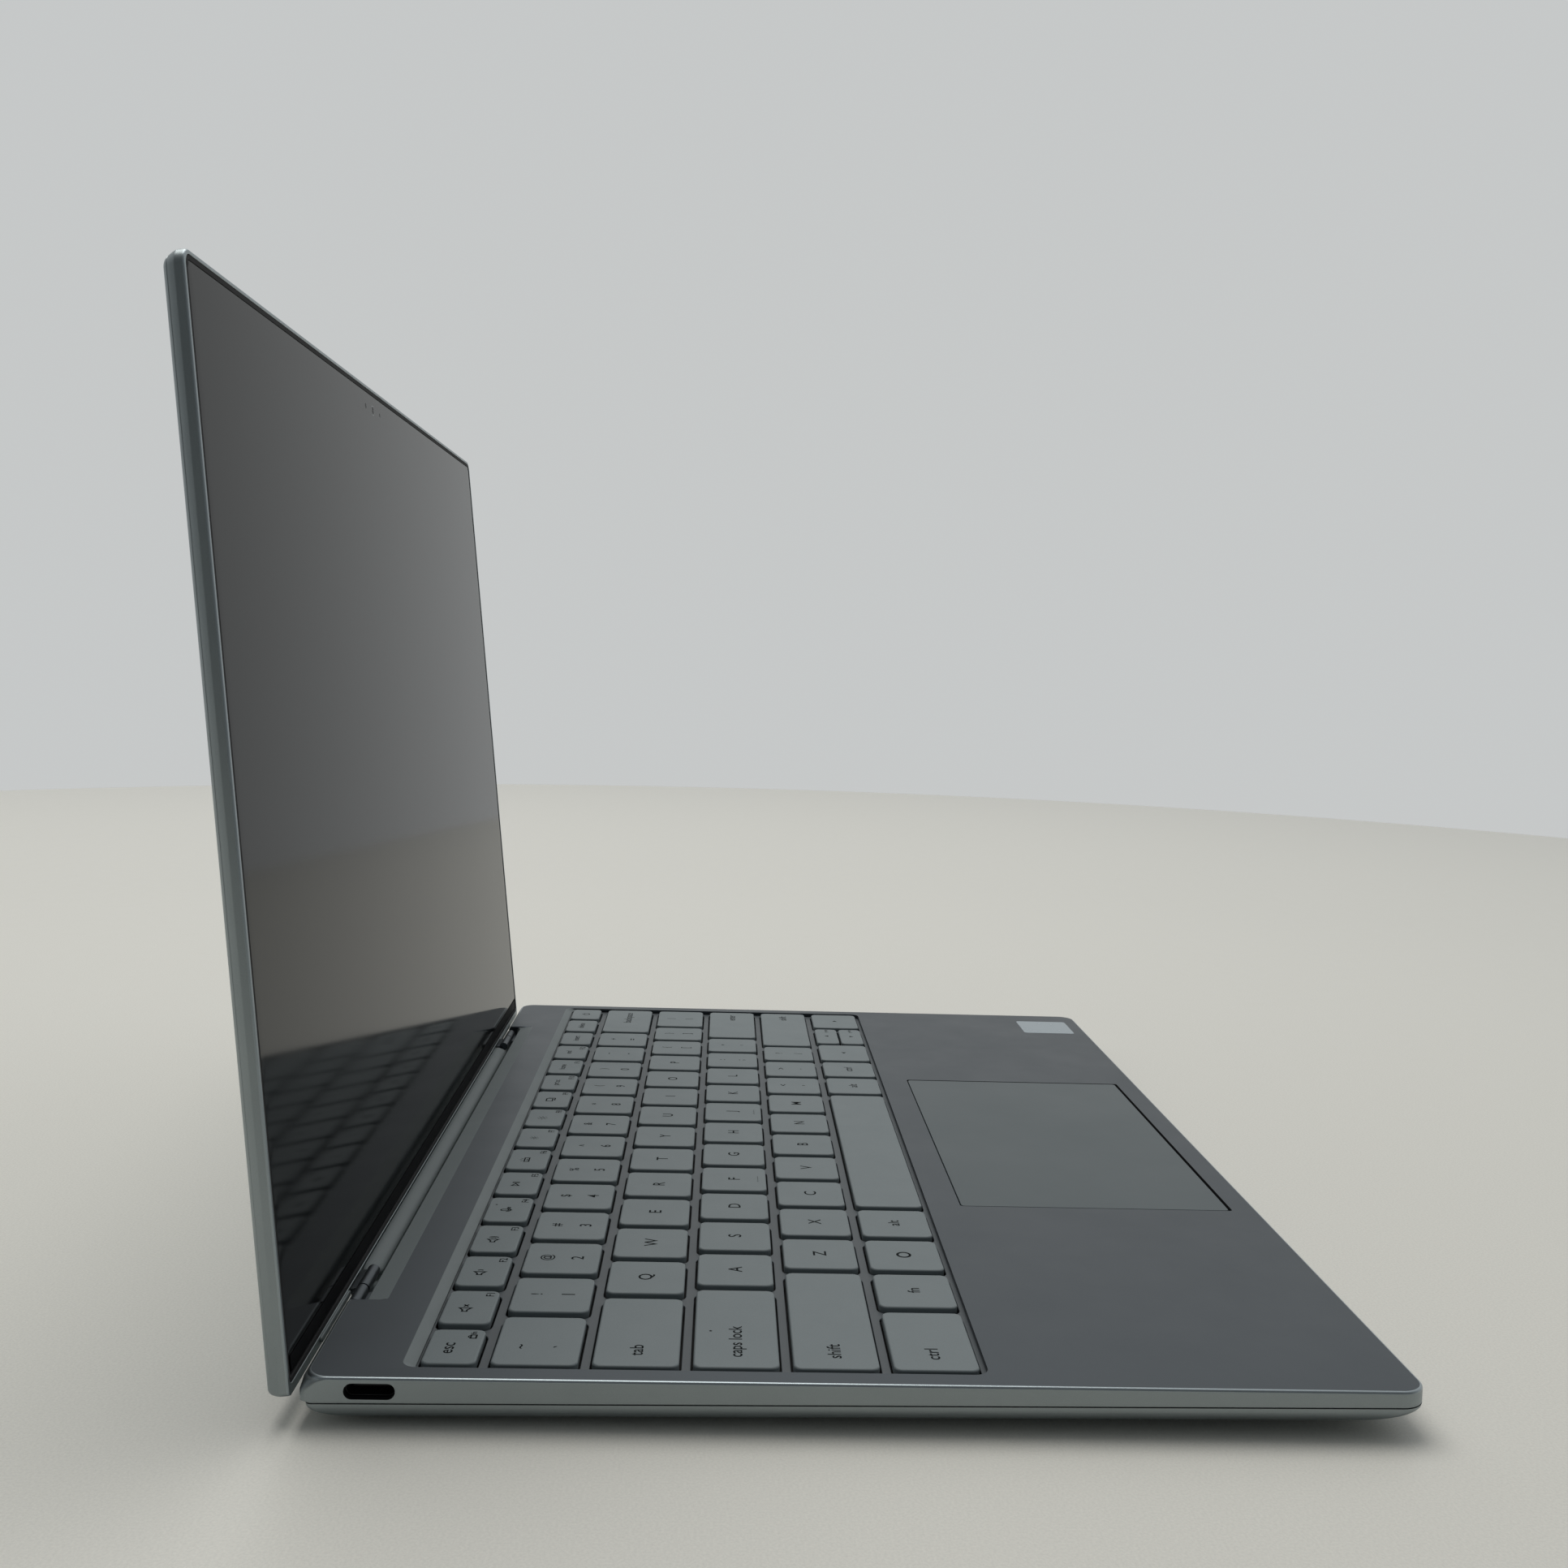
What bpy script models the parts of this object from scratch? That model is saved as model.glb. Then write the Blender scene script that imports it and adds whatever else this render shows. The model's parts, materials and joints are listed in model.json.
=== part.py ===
"""Slim 13.4-inch clamshell laptop computer, as an assembly of separate solids.

Sizes are in millimetres in "chassis" coordinates: X to the user's right, Y from the front edge
to the hinge, Z up from the deck plane. to_world() turns them into metres, with the origin under
the middle of the open laptop, on the surface that its feet stand on.
"""
import math

import bmesh
import bpy
from mathutils import Vector

MM = 0.001
GAP = 0.3                       # clearance between touching neighbours

# Driving dimensions -------------------------------------------------------------------------
HALF_WIDTH = 147.7              # 295.4 wide
CORNER_R = 5.0                  # front corners of the base
REAR_TOP_R = 4.0                # its rear corners, at deck level ...
REAR_R = 1.2                    # ... and below
BASE_REAR_Y = 199.2             # rearmost point of the base; its front edge is at Y = 0
FLOOR_Z = -9.1                  # underside of the feet
WALL = 1.3
DECK_T = 0.7

# Wedge: the side wall and the underside both slope down towards the hinge.
WEDGE = 1.7 / 199.0
SEAM_FRONT_Z = -2.9             # joint line between top case and bottom cover, at the front
UNDER_FRONT_Z = -6.4            # underside of the bottom cover, at the front
COVER_T = 0.9

# Lid and hinge
OPEN_DEG = 96.5                 # angle between deck and screen at rest
HINGE_Y = 198.0
HINGE_Z = -2.15
LID_IN_Z = 0.6                  # inner face of the closed lid
LID_T = 4.3
LID_FRONT_Y = 0.6
LID_BACK_INSET = 2.6            # rounding of the lid's back, from its outline to the flat
LID_REAR_Y = 199.3
LID_FRONT_R = 3.4
LID_REAR_R = 1.2                # the lid's corners at the hinge are nearly square
POCKET_INSET = 0.9
GLASS_INSET = 1.1               # from the pocket to the glass, round the gasket
GLASS_REAR_Y = 193.0            # lower edge of the glass, lid closed; the black chin is below it
POCKET_REAR_Y = 197.5
NOTCH_X = 114.0                 # half width of the slot that the hinge cover turns in
NOTCH_Y = 191.0                 # where the deck starts to fall towards the slot
SLOT_Y = 195.1                  # front wall of the slot
HINGE_COVER_X = 94.0
KNUCKLE_R = 1.3

# Keyboard
KEY_PITCH = 19.05
UNIT_SPAN = 15                  # the rows are 15 units wide
KEY_GAP = 2.5
ROW_PITCH = 18.05
ROW_FRONT_Y = 78.3              # front edge of the space bar row's cells
FN_ROW_DEPTH = 12.3
KEY_CORNER = 1.5
TRAY_TOP_Z = -1.2
TRAY_T = 0.4
SKIRT_Z = -2.0                  # underside of a key cap
STEM_Z = -2.5
KEYBOARD_BASE_TOP_Z = -3.8

# Touchpad
PAD_HALF_X = 55.3
PAD_FRONT_Y = 6.7
PAD_REAR_Y = 70.2
PAD_T = 1.0

# Ports
PORT_Y = 187.0
PORT_Z = -2.4
PORT_LENGTH = 8.94
PORT_HEIGHT = 2.8


def lid_rear_reach():
    """Rearmost Y of the open lid: the top end of its flat back."""
    along = HINGE_Y - LID_FRONT_Y - LID_BACK_INSET
    across = LID_IN_Z + LID_T - HINGE_Z
    angle = math.radians(OPEN_DEG)
    return HINGE_Y - along * math.cos(angle) + across * math.sin(angle)


ORIGIN_Y = lid_rear_reach() / 2


def to_world(point):
    x, y, z = point
    return Vector((x * MM, (y - ORIGIN_Y) * MM, (z - FLOOR_Z) * MM))


def seam_z(y):
    return SEAM_FRONT_Z - WEDGE * y


def under_z(y):
    return UNDER_FRONT_Z - WEDGE * y


# Outlines -----------------------------------------------------------------------------------
def arc(cx, cy, radius, start_deg, end_deg, steps):
    points = []
    for i in range(steps + 1):
        angle = math.radians(start_deg + (end_deg - start_deg) * i / steps)
        points.append((cx + radius * math.cos(angle), cy + radius * math.sin(angle)))
    return points


def rounded_rect(x0, x1, y0, y1, radius, steps=3, rear_radius=None):
    """Anticlockwise outline, from the right end of the front edge."""
    rear = radius if rear_radius is None else rear_radius
    return (arc(x1 - radius, y0 + radius, radius, -90, 0, steps)
            + arc(x1 - rear, y1 - rear, rear, 0, 90, steps)
            + arc(x0 + rear, y1 - rear, rear, 90, 180, steps)
            + arc(x0 + radius, y0 + radius, radius, 180, 270, steps))


def circle(cx, cy, radius, steps=12):
    return arc(cx, cy, radius, 0, 360, steps)[:-1]


def base_outline(inset, rear_y, notch_y=None, front=None, rear_r=REAR_R, front_r=None):
    """Outline of the base at one height; notch_y cuts the hinge slot into the rear edge."""
    x = HALF_WIDTH - inset
    y0 = inset if front is None else front
    radius = front_r or max(CORNER_R - inset, 1.0)
    points = arc(x - radius, y0 + radius, radius, -90, 0, 5)
    points += arc(x - rear_r, rear_y - rear_r, rear_r, 0, 90, 5)
    if notch_y is not None:
        half = NOTCH_X + inset
        points += [(half, rear_y), (half, notch_y + 1.5), (half - 1.5, notch_y)]
        points += [(-half + 1.5, notch_y), (-half, notch_y + 1.5), (-half, rear_y)]
    points += arc(-x + rear_r, rear_y - rear_r, rear_r, 90, 180, 5)
    points += arc(-x + radius, y0 + radius, radius, 180, 270, 5)
    return points


def level(outline, z):
    """Outline lifted to a height: a number, or a function of Y."""
    if callable(z):
        return [(x, y, z(y)) for x, y in outline]
    return [(x, y, z) for x, y in outline]


# Mesh building ------------------------------------------------------------------------------
class Solid:
    """Collects loops of points and turns them into one closed mesh."""

    def __init__(self):
        self.bm = bmesh.new()

    def loop(self, points):
        return [self.bm.verts.new(point) for point in points]

    def bridge(self, a, b):
        count = len(a)
        for i in range(count):
            j = (i + 1) % count
            self.bm.faces.new((a[i], a[j], b[j], b[i]))

    def fill(self, outer, holes=()):
        """Face over a flat or gently sloping outline, with holes left open."""
        if not holes:
            self.bm.faces.new(outer)
            return
        edges = []
        for ring in (outer, *holes):
            for i, vert in enumerate(ring):
                after = ring[(i + 1) % len(ring)]
                edges.append(self.bm.edges.get((vert, after)) or self.bm.edges.new((vert, after)))
        bmesh.ops.triangle_fill(self.bm, use_beauty=True, edges=edges)

    def stack(self, rings):
        """Bridge a list of rings in turn; returns the first and the last."""
        loops = [self.loop(ring) for ring in rings]
        for a, b in zip(loops, loops[1:]):
            self.bridge(a, b)
        return loops[0], loops[-1]

    def column(self, rings):
        first, last = self.stack(rings)
        self.fill(first)
        self.fill(last)
        return self

    def box(self, x0, x1, y0, y1, z0, z1):
        outline = [(x0, y0), (x1, y0), (x1, y1), (x0, y1)]
        return self.column([level(outline, z0), level(outline, z1)])


def make_material(name, colour, roughness, metallic=0.0):
    material = bpy.data.materials.new(name)
    material.use_nodes = True
    shader = material.node_tree.nodes["Principled BSDF"]
    shader.inputs["Base Color"].default_value = (*colour, 1.0)
    shader.inputs["Roughness"].default_value = roughness
    shader.inputs["Metallic"].default_value = metallic
    material.diffuse_color = (*colour, 1.0)
    return material


def add_part(name, solid, origin, finish, pivot=None):
    """Make the object; its origin is the given chassis point, or the pivot it hangs on."""
    colour, roughness, metallic = FINISHES[finish]
    bm = solid.bm
    bmesh.ops.recalc_face_normals(bm, faces=bm.faces[:])
    for vert in bm.verts:
        vert.co = (vert.co - Vector(origin)) * MM
    mesh = bpy.data.meshes.new(name)
    bm.to_mesh(mesh)
    bm.free()
    mesh.shade_smooth()
    mesh.set_sharp_from_angle(angle=math.radians(30))
    mesh.materials.append(make_material(name, colour, roughness, metallic))
    part = bpy.data.objects.new(name, mesh)
    bpy.context.collection.objects.link(part)
    if pivot is None:
        part.location = to_world(origin)
    else:
        part.parent = pivot
    return part


def cut(part, cutter):
    cutter.hide_render = True
    cutter.display_type = 'WIRE'
    modifier = part.modifiers.new("cut_" + cutter.name, 'BOOLEAN')
    modifier.operation = 'DIFFERENCE'
    modifier.solver = 'EXACT'
    modifier.object = cutter


def join(part, extra):
    extra.hide_render = True
    extra.display_type = 'WIRE'
    modifier = part.modifiers.new("join_" + extra.name, 'BOOLEAN')
    modifier.operation = 'UNION'
    modifier.solver = 'EXACT'
    modifier.object = extra


# Colour, roughness and metallic value of each finish
FINISHES = {
    "deck": ((0.150, 0.168, 0.185), 0.45, 0.75),
    "shell": ((0.300, 0.340, 0.360), 0.42, 0.80),
    "keycap": ((0.260, 0.290, 0.305), 0.55, 0.0),
    "touchpad": ((0.170, 0.190, 0.200), 0.40, 0.0),
    "glass": ((0.010, 0.011, 0.012), 0.25, 0.0),
    "rubber": ((0.020, 0.020, 0.022), 0.80, 0.0),
    "steel": ((0.450, 0.450, 0.460), 0.35, 1.0),
    "copper": ((0.600, 0.300, 0.180), 0.35, 1.0),
    "board": ((0.020, 0.060, 0.090), 0.60, 0.0),
    "battery": ((0.030, 0.030, 0.034), 0.60, 0.0),
    "plastic": ((0.030, 0.031, 0.033), 0.60, 0.0),
}


# Base: top case -----------------------------------------------------------------------------
def stadium(length, height, steps=6):
    """Outline of a slot with round ends, in (along, up)."""
    radius = height / 2
    half = length / 2 - radius
    return arc(half, 0, radius, -90, 90, steps) + arc(-half, 0, radius, 90, 270, steps)


def sideways(outline, x, y, z):
    """Stand an (along, up) outline on a plane of constant X."""
    return [(x, y + along, z + up) for along, up in outline]


def keyboard_opening(bottom):
    rear = 180.9 if bottom else 182.6
    return rounded_rect(-143.2, 143.2, 78.2, rear, 1.6)


def touchpad_opening():
    return rounded_rect(-PAD_HALF_X - 0.35, PAD_HALF_X + 0.35, PAD_FRONT_Y - 0.6, PAD_REAR_Y + 0.35, 0.6, 1)


def add_top_case():
    solid = Solid()
    wall_bottom_rear = BASE_REAR_Y - 1.6
    top, ceiling = solid.stack([
        level(base_outline(0.35, 198.1, NOTCH_Y, rear_r=REAR_TOP_R), 0.0),
        level(base_outline(0.0, 198.5, NOTCH_Y + 2.4, rear_r=REAR_TOP_R), -0.35),
        level(base_outline(0.0, 198.8, SLOT_Y, rear_r=REAR_TOP_R - 0.6), -0.65),
        level(base_outline(0.0, BASE_REAR_Y, SLOT_Y), -2.4),
        level(base_outline(0.0, wall_bottom_rear, SLOT_Y), seam_z),
        level(base_outline(WALL, wall_bottom_rear - WALL, SLOT_Y - WALL), seam_z),
        level(base_outline(WALL, 196.0, NOTCH_Y - WALL), -DECK_T),
    ])
    top_holes = [solid.loop(level(keyboard_opening(False), 0.0)),
                 solid.loop(level(touchpad_opening(), 0.0))]
    low_holes = [solid.loop(level(keyboard_opening(True), -DECK_T)),
                 solid.loop(level(touchpad_opening(), -DECK_T))]
    for upper, lower in zip(top_holes, low_holes):
        solid.bridge(upper, lower)
    solid.fill(top, top_holes)
    solid.fill(ceiling, low_holes)
    case = add_part("palmrest_deck", solid, (0, 100, 0), "deck")
    for side in (-1, 1):
        cutter = Solid()
        outline = stadium(PORT_LENGTH, PORT_HEIGHT)
        cutter.column([sideways(outline, side * (HALF_WIDTH + 2), PORT_Y, PORT_Z),
                       sideways(outline, side * (HALF_WIDTH - WALL - 1), PORT_Y, PORT_Z)])
        label = "left" if side < 0 else "right"
        cut(case, add_part("port_cutter_" + label, cutter, (0, PORT_Y, PORT_Z), "steel"))


# Keyboard -----------------------------------------------------------------------------------
def unit_row(widths):
    """Left edges and widths of a row's cells, in millimetres, from widths in key units."""
    cells = []
    left = -UNIT_SPAN * KEY_PITCH / 2
    for width in widths:
        cells.append((left, left + width * KEY_PITCH))
        left += width * KEY_PITCH
    return cells


def row_front(row):
    """Front edge of a row of cells; row 0 holds the space bar and row 5 the function keys."""
    return ROW_FRONT_Y + row * ROW_PITCH


FUNCTION_UNITS = 18.0 / KEY_PITCH
END_UNITS = (UNIT_SPAN - 14 * FUNCTION_UNITS) / 2
ARROW_UNITS = (UNIT_SPAN - 11.5) / 3

# Node name, first key and number of keys, for the cells of each row from the left
ROWS = [
    (0, [1.45, 1, 1, 1, 5.05, 1, 1, ARROW_UNITS, ARROW_UNITS, ARROW_UNITS], [
        ("left_ctrl_key", 0, 1), ("fn_key", 1, 1), ("menu_key", 2, 1), ("left_alt_key", 3, 1),
        ("space_bar", 4, 1), ("right_alt_key", 5, 1), ("right_ctrl_key", 6, 1),
        ("left_arrow_key", 7, 1), ("right_arrow_key", 9, 1)]),
    (1, [2.45] + [1] * 10 + [2.55], [
        ("left_shift_key", 0, 1), ("lower_letter_keys", 1, 10), ("right_shift_key", 11, 1)]),
    (2, [1.95] + [1] * 11 + [2.05], [
        ("caps_lock_key", 0, 1), ("home_letter_keys", 1, 11), ("enter_key", 12, 1)]),
    (3, [1.7] + [1] * 12 + [1.3], [
        ("tab_key", 0, 1), ("upper_letter_keys", 1, 12), ("backslash_key", 13, 1)]),
    (4, [1.2] + [1] * 12 + [1.8], [
        ("grave_key", 0, 1), ("digit_keys", 1, 12), ("backspace_key", 13, 1)]),
    (5, [END_UNITS] + [FUNCTION_UNITS] * 14 + [END_UNITS], [
        ("esc_key", 0, 1), ("function_keys", 1, 14), ("power_key", 15, 1)]),
]
ARROW_CELL = 8                  # the cell that the up and down keys share


def cell_boxes(row, widths):
    depth = FN_ROW_DEPTH if row == 5 else ROW_PITCH
    front = row_front(row)
    return [(x0, x1, front, front + depth) for x0, x1 in unit_row(widths)]


def cap_box(cell):
    x0, x1, y0, y1 = cell
    half = KEY_GAP / 2
    return x0 + half, x1 - half, y0 + half, y1 - half


def half_caps(cell):
    """The up and down keys: two low caps with a thin slit between them."""
    x0, x1, y0, y1 = cap_box(cell)
    middle = (y0 + y1) / 2
    return (x0, x1, y0, middle - 0.35), (x0, x1, middle + 0.35, y1)


def cap_outline(cap, grow=0.0, radius=KEY_CORNER):
    x0, x1, y0, y1 = cap
    return rounded_rect(x0 - grow, x1 + grow, y0 - grow, y1 + grow, radius, 1)


def add_single_key(name, cap):
    solid = Solid()
    stem_inset = 2.5
    solid.column([
        level(cap_outline(cap, -stem_inset, 0.8), STEM_Z),
        level(cap_outline(cap, -stem_inset, 0.8), SKIRT_Z),
        level(cap_outline(cap), SKIRT_Z),
        level(cap_outline(cap), -0.3),
        level(cap_outline(cap, -0.35), 0.0),
    ])
    x0, x1, y0, y1 = cap
    add_part(name, solid, ((x0 + x1) / 2, (y0 + y1) / 2, 0), "keycap")


def add_key_group(name, caps):
    """Equal keys side by side on one carrier strip, which runs under the tray."""
    solid = Solid()
    x0, x1 = caps[0][0], caps[-1][1]
    y0, y1 = caps[0][2], caps[0][3]
    inset = 2.5
    strip = [(x0 - 0.5, y0 + inset), (x1 + 0.5, y0 + inset), (x1 + 0.5, y1 - inset), (x0 - 0.5, y1 - inset)]
    low, high = solid.stack([level(strip, STEM_Z), level(strip, SKIRT_Z - 0.1)])
    feet = []
    for cap in caps:
        foot, crown = solid.stack([
            level(cap_outline(cap, -inset - 0.3, 0.8), SKIRT_Z - 0.1),
            level(cap_outline(cap, -inset - 0.3, 0.8), SKIRT_Z + 0.1),
            level(cap_outline(cap), SKIRT_Z + 0.1),
            level(cap_outline(cap), -0.3),
            level(cap_outline(cap, -0.35), 0.0),
        ])
        solid.fill(crown)
        feet.append(foot)
    solid.fill(low)
    solid.fill(high, feet)
    add_part(name, solid, ((x0 + x1) / 2, (y0 + y1) / 2, 0), "keycap")


def add_keys():
    for row, widths, nodes in ROWS:
        cells = cell_boxes(row, widths)
        for name, first, count in nodes:
            caps = [cap_box(cell) for cell in cells[first:first + count]]
            if count == 1:
                add_single_key(name, caps[0])
            else:
                add_key_group(name, caps)
    row, widths, _ = ROWS[0]
    down, up = half_caps(cell_boxes(row, widths)[ARROW_CELL])
    add_single_key("down_arrow_key", down)
    add_single_key("up_arrow_key", up)


def add_keyboard_tray():
    """Sunken lattice with a window for each key, and the steel plate that the keys work on."""
    solid = Solid()
    outline = rounded_rect(-144.6, 144.6, 76.8, 181.8, 1.0, 1)
    low, high = solid.stack([level(outline, TRAY_TOP_Z - TRAY_T), level(outline, TRAY_TOP_Z)])
    low_holes, high_holes = [], []
    for row, widths, _ in ROWS:
        for cell in cell_boxes(row, widths):
            window = cap_outline(cap_box(cell), 0.4)
            lower, upper = solid.stack([level(window, TRAY_TOP_Z - TRAY_T), level(window, TRAY_TOP_Z)])
            low_holes.append(lower)
            high_holes.append(upper)
    solid.fill(low, low_holes)
    solid.fill(high, high_holes)
    add_part("keyboard_tray", solid, (0, 130, TRAY_TOP_Z), "deck")
    plate = Solid().box(-143, 143, 78, 181.6, KEYBOARD_BASE_TOP_Z - 0.3, KEYBOARD_BASE_TOP_Z)
    add_part("keyboard_base_plate", plate, (0, 130, KEYBOARD_BASE_TOP_Z), "steel")


def add_touchpad():
    outline = rounded_rect(-PAD_HALF_X, PAD_HALF_X, PAD_FRONT_Y, PAD_REAR_Y, 0.5, 1)
    pad = Solid().column([level(outline, -PAD_T), level(outline, -0.05)])
    add_part("touchpad", pad, (0, PAD_REAR_Y, -PAD_T / 2), "touchpad")
    bracket = Solid().box(-48, 48, 12, 72, -2.2, -1.8)
    add_part("touchpad_bracket", bracket, (0, 42, -2), "steel")


# Base: bottom cover, feet, screws -----------------------------------------------------------
def slot_outline(cx, cy, half_x, half_y):
    return [(cx - half_x, cy - half_y), (cx + half_x, cy - half_y),
            (cx + half_x, cy + half_y), (cx - half_x, cy + half_y)]


SCREWS = [(-132, 24), (0, 24), (132, 24), (-132, 182), (0, 182), (132, 182)]
VENT_COLUMNS = 36
VENT_PITCH = 5.2
VENT_Y = 146.0
GRILLE_X = 128.0


def vent_slots():
    start = -VENT_PITCH * (VENT_COLUMNS - 1) / 2
    for column in range(VENT_COLUMNS):
        yield slot_outline(start + column * VENT_PITCH, VENT_Y, 1.1, 9.0)
    for side in (-1, 1):
        for line in range(4):
            yield slot_outline(side * GRILLE_X, 48.0 + line * 4.0, 8.0, 0.8)


def add_bottom_cover():
    solid = Solid()
    drop = GAP

    def rim_z(y):
        return seam_z(y) - drop

    def shoulder_z(y):
        return rim_z(y) + (under_z(y) - rim_z(y)) * 0.62

    def inner_shoulder_z(y):
        return shoulder_z(y) + COVER_T

    def inner_z(y):
        return under_z(y) + COVER_T

    outer, inner = solid.stack([
        level(base_outline(4.0, 190.0, front=16.0, rear_r=5.0, front_r=5.0), under_z),
        level(base_outline(1.5, 194.4, front=6.5, rear_r=3.0, front_r=5.0), shoulder_z),
        level(base_outline(0.0, 197.2), rim_z),
        level(base_outline(WALL, 195.9), rim_z),
        level(base_outline(2.8, 192.5, front=8.5, rear_r=2.5, front_r=4.0), inner_shoulder_z),
        level(base_outline(5.2, 188.5, front=18.0, rear_r=4.0, front_r=4.0), inner_z),
    ])
    outer_holes, inner_holes = [], []
    for slot in vent_slots():
        low, high = solid.stack([level(slot, under_z), level(slot, inner_z)])
        outer_holes.append(low)
        inner_holes.append(high)
    for x, y in SCREWS:
        base = under_z(y)
        low, high = solid.stack([
            level(circle(x, y, 2.3), under_z),
            level(circle(x, y, 2.3), base + 0.5),
            level(circle(x, y, 1.2), base + 0.5),
            level(circle(x, y, 1.2), inner_z),
        ])
        outer_holes.append(low)
        inner_holes.append(high)
    solid.fill(outer, outer_holes)
    solid.fill(inner, inner_holes)
    add_part("bottom_cover", solid, (0, 100, UNDER_FRONT_Z), "shell")


def add_screws():
    names = ["front_left", "front_middle", "front_right", "rear_left", "rear_middle", "rear_right"]
    for name, (x, y) in zip(names, SCREWS):
        base = under_z(y)
        screw = Solid().column([
            level(circle(x, y, 1.7), base + 0.02),
            level(circle(x, y, 2.0), base + 0.12),
            level(circle(x, y, 2.0), base + 0.35),
            level(circle(x, y, 0.9), base + 0.35),
            level(circle(x, y, 0.9), base + 1.5),
        ])
        add_part("screw_" + name, screw, (x, y, base), "steel")


def add_foot(name, y, half_x, half_y):
    radius = half_y - 0.01
    outline = rounded_rect(-half_x, half_x, y - half_y, y + half_y, radius, 4)
    inset = rounded_rect(-half_x + 0.5, half_x - 0.5, y - half_y + 0.5, y + half_y - 0.5, radius - 0.5, 4)
    foot = Solid().column([
        level(inset, FLOOR_Z),
        level(outline, FLOOR_Z + 0.5),
        level(outline, lambda at: under_z(at) - 0.02),
    ])
    add_part(name, foot, (0, y, FLOOR_Z), "rubber")


# Base: what it holds inside -----------------------------------------------------------------
def add_port_shells():
    """USB-C receptacles: a steel cup with a mouth, behind each opening."""
    outer = stadium(PORT_LENGTH, PORT_HEIGHT)
    inner = stadium(PORT_LENGTH - 0.5, PORT_HEIGHT - 0.5)
    for label, side in (("left", -1), ("right", 1)):
        mouth = side * (HALF_WIDTH - WALL - GAP)
        back = mouth - side * 7.3
        cup = Solid().column([
            sideways(inner, back + side * 0.6, PORT_Y, PORT_Z),
            sideways(inner, mouth, PORT_Y, PORT_Z),
            sideways(outer, mouth, PORT_Y, PORT_Z),
            sideways(outer, back, PORT_Y, PORT_Z),
        ])
        add_part("usb_c_port_" + label, cup, (mouth, PORT_Y, PORT_Z), "steel")


FAN_X, FAN_Y, FAN_R = 88.0, 150.0, 20.5
FAN_LOW, FAN_HIGH = -6.2, -4.4


def add_fan():
    """Housing with a round well, open below, and the impeller that spins in it."""
    housing = Solid()
    square = [(FAN_X - 25, FAN_Y - 24), (FAN_X + 25, FAN_Y - 24), (FAN_X + 25, FAN_Y + 24),
              (FAN_X - 25, FAN_Y + 24)]
    low, high = housing.stack([level(square, FAN_LOW), level(square, FAN_HIGH)])
    well_low, well_high = housing.stack([
        level(circle(FAN_X, FAN_Y, FAN_R + 1.2, 24), FAN_LOW),
        level(circle(FAN_X, FAN_Y, FAN_R + 1.2, 24), FAN_HIGH - 0.3),
    ])
    housing.fill(high)
    housing.fill(well_high)
    housing.fill(low, [well_low])
    add_part("fan_housing", housing, (FAN_X, FAN_Y, FAN_LOW), "plastic")

    impeller = Solid()
    blades = 17
    outline = []
    for blade in range(blades):
        start = 360.0 * blade / blades
        outline += arc(FAN_X, FAN_Y, 9.0, start, start + 12.0, 1)
        outline += arc(FAN_X, FAN_Y, FAN_R, start + 8.0, start + 11.0, 1)[::-1]
    ring = []
    for blade in range(blades):
        hub_a, hub_b, tip_b, tip_a = outline[4 * blade:4 * blade + 4]
        ring += [hub_a, tip_a, tip_b, hub_b]
    impeller.column([level(ring, FAN_LOW + 0.2), level(ring, FAN_HIGH - 0.6)])
    add_part("fan_impeller", impeller, (FAN_X, FAN_Y, FAN_LOW), "plastic")


def add_internals():
    sloped_low = -5.4
    board = Solid().column([level([(-138, 122), (-20, 122), (-20, 134), (58, 134), (58, 180),
                                   (-136, 180)], z) for z in (-5.4, -4.5)])
    add_part("mainboard", board, (-40, 150, sloped_low), "board")
    battery = Solid().column([
        level(rounded_rect(-104, 104, 30, 75, 1.0, 1), -5.3),
        level(rounded_rect(-104, 104, 30, 75, 1.0, 1), -2.6),
    ])
    add_part("battery_pack", battery, (0, 52, -4), "battery")
    for label, side in (("left", -1), ("right", 1)):
        x0, x1 = sorted((side * 112, side * 140))
        speaker = Solid().column([
            level(rounded_rect(x0, x1, 32, 74, 3.0, 2), -5.3),
            level(rounded_rect(x0, x1, 32, 74, 3.0, 2), -1.6),
        ])
        add_part("speaker_" + label, speaker, (side * 126, 53, -4), "plastic")
    outline = [(-60, 181.5), (63, 181.5), (63, 174.5), (113, 174.5), (113, 180.5),
               (70, 180.5), (70, 187.0), (-60, 187.0)]
    sink = Solid().column([level(outline, z) for z in (-6.2, -4.5)])
    add_part("heat_pipe", sink, (0, 184, -5), "copper")


# Hinge and lid ------------------------------------------------------------------------------
def ring_x(x, radius, steps=12):
    return [(x, y, z) for y, z in circle(HINGE_Y, HINGE_Z, radius, steps)]


def add_hinge_brackets():
    """Base halves of the two hinges: a knuckle on the axis with a strap into the base."""
    for label, side in (("left", -1), ("right", 1)):
        near, far = side * 104.6, side * 112.0
        knuckle = Solid().column([ring_x(near, KNUCKLE_R), ring_x(far, KNUCKLE_R)])
        part = add_part("hinge_bracket_" + label, knuckle, (side * 109, HINGE_Y, HINGE_Z), "steel")
        x0, x1 = sorted((near, far))
        strap = Solid().box(x0, x1, SLOT_Y + GAP, HINGE_Y, HINGE_Z - 1.2, HINGE_Z - 0.4)
        join(part, add_part("hinge_strap_" + label, strap, (side * 109, HINGE_Y, HINGE_Z), "steel"))


def lid_outline(inset):
    return rounded_rect(-HALF_WIDTH + inset, HALF_WIDTH - inset, LID_FRONT_Y + inset,
                        LID_REAR_Y - inset, max(LID_FRONT_R - inset, 1.0), 5, max(LID_REAR_R - inset, 0.5))


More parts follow.
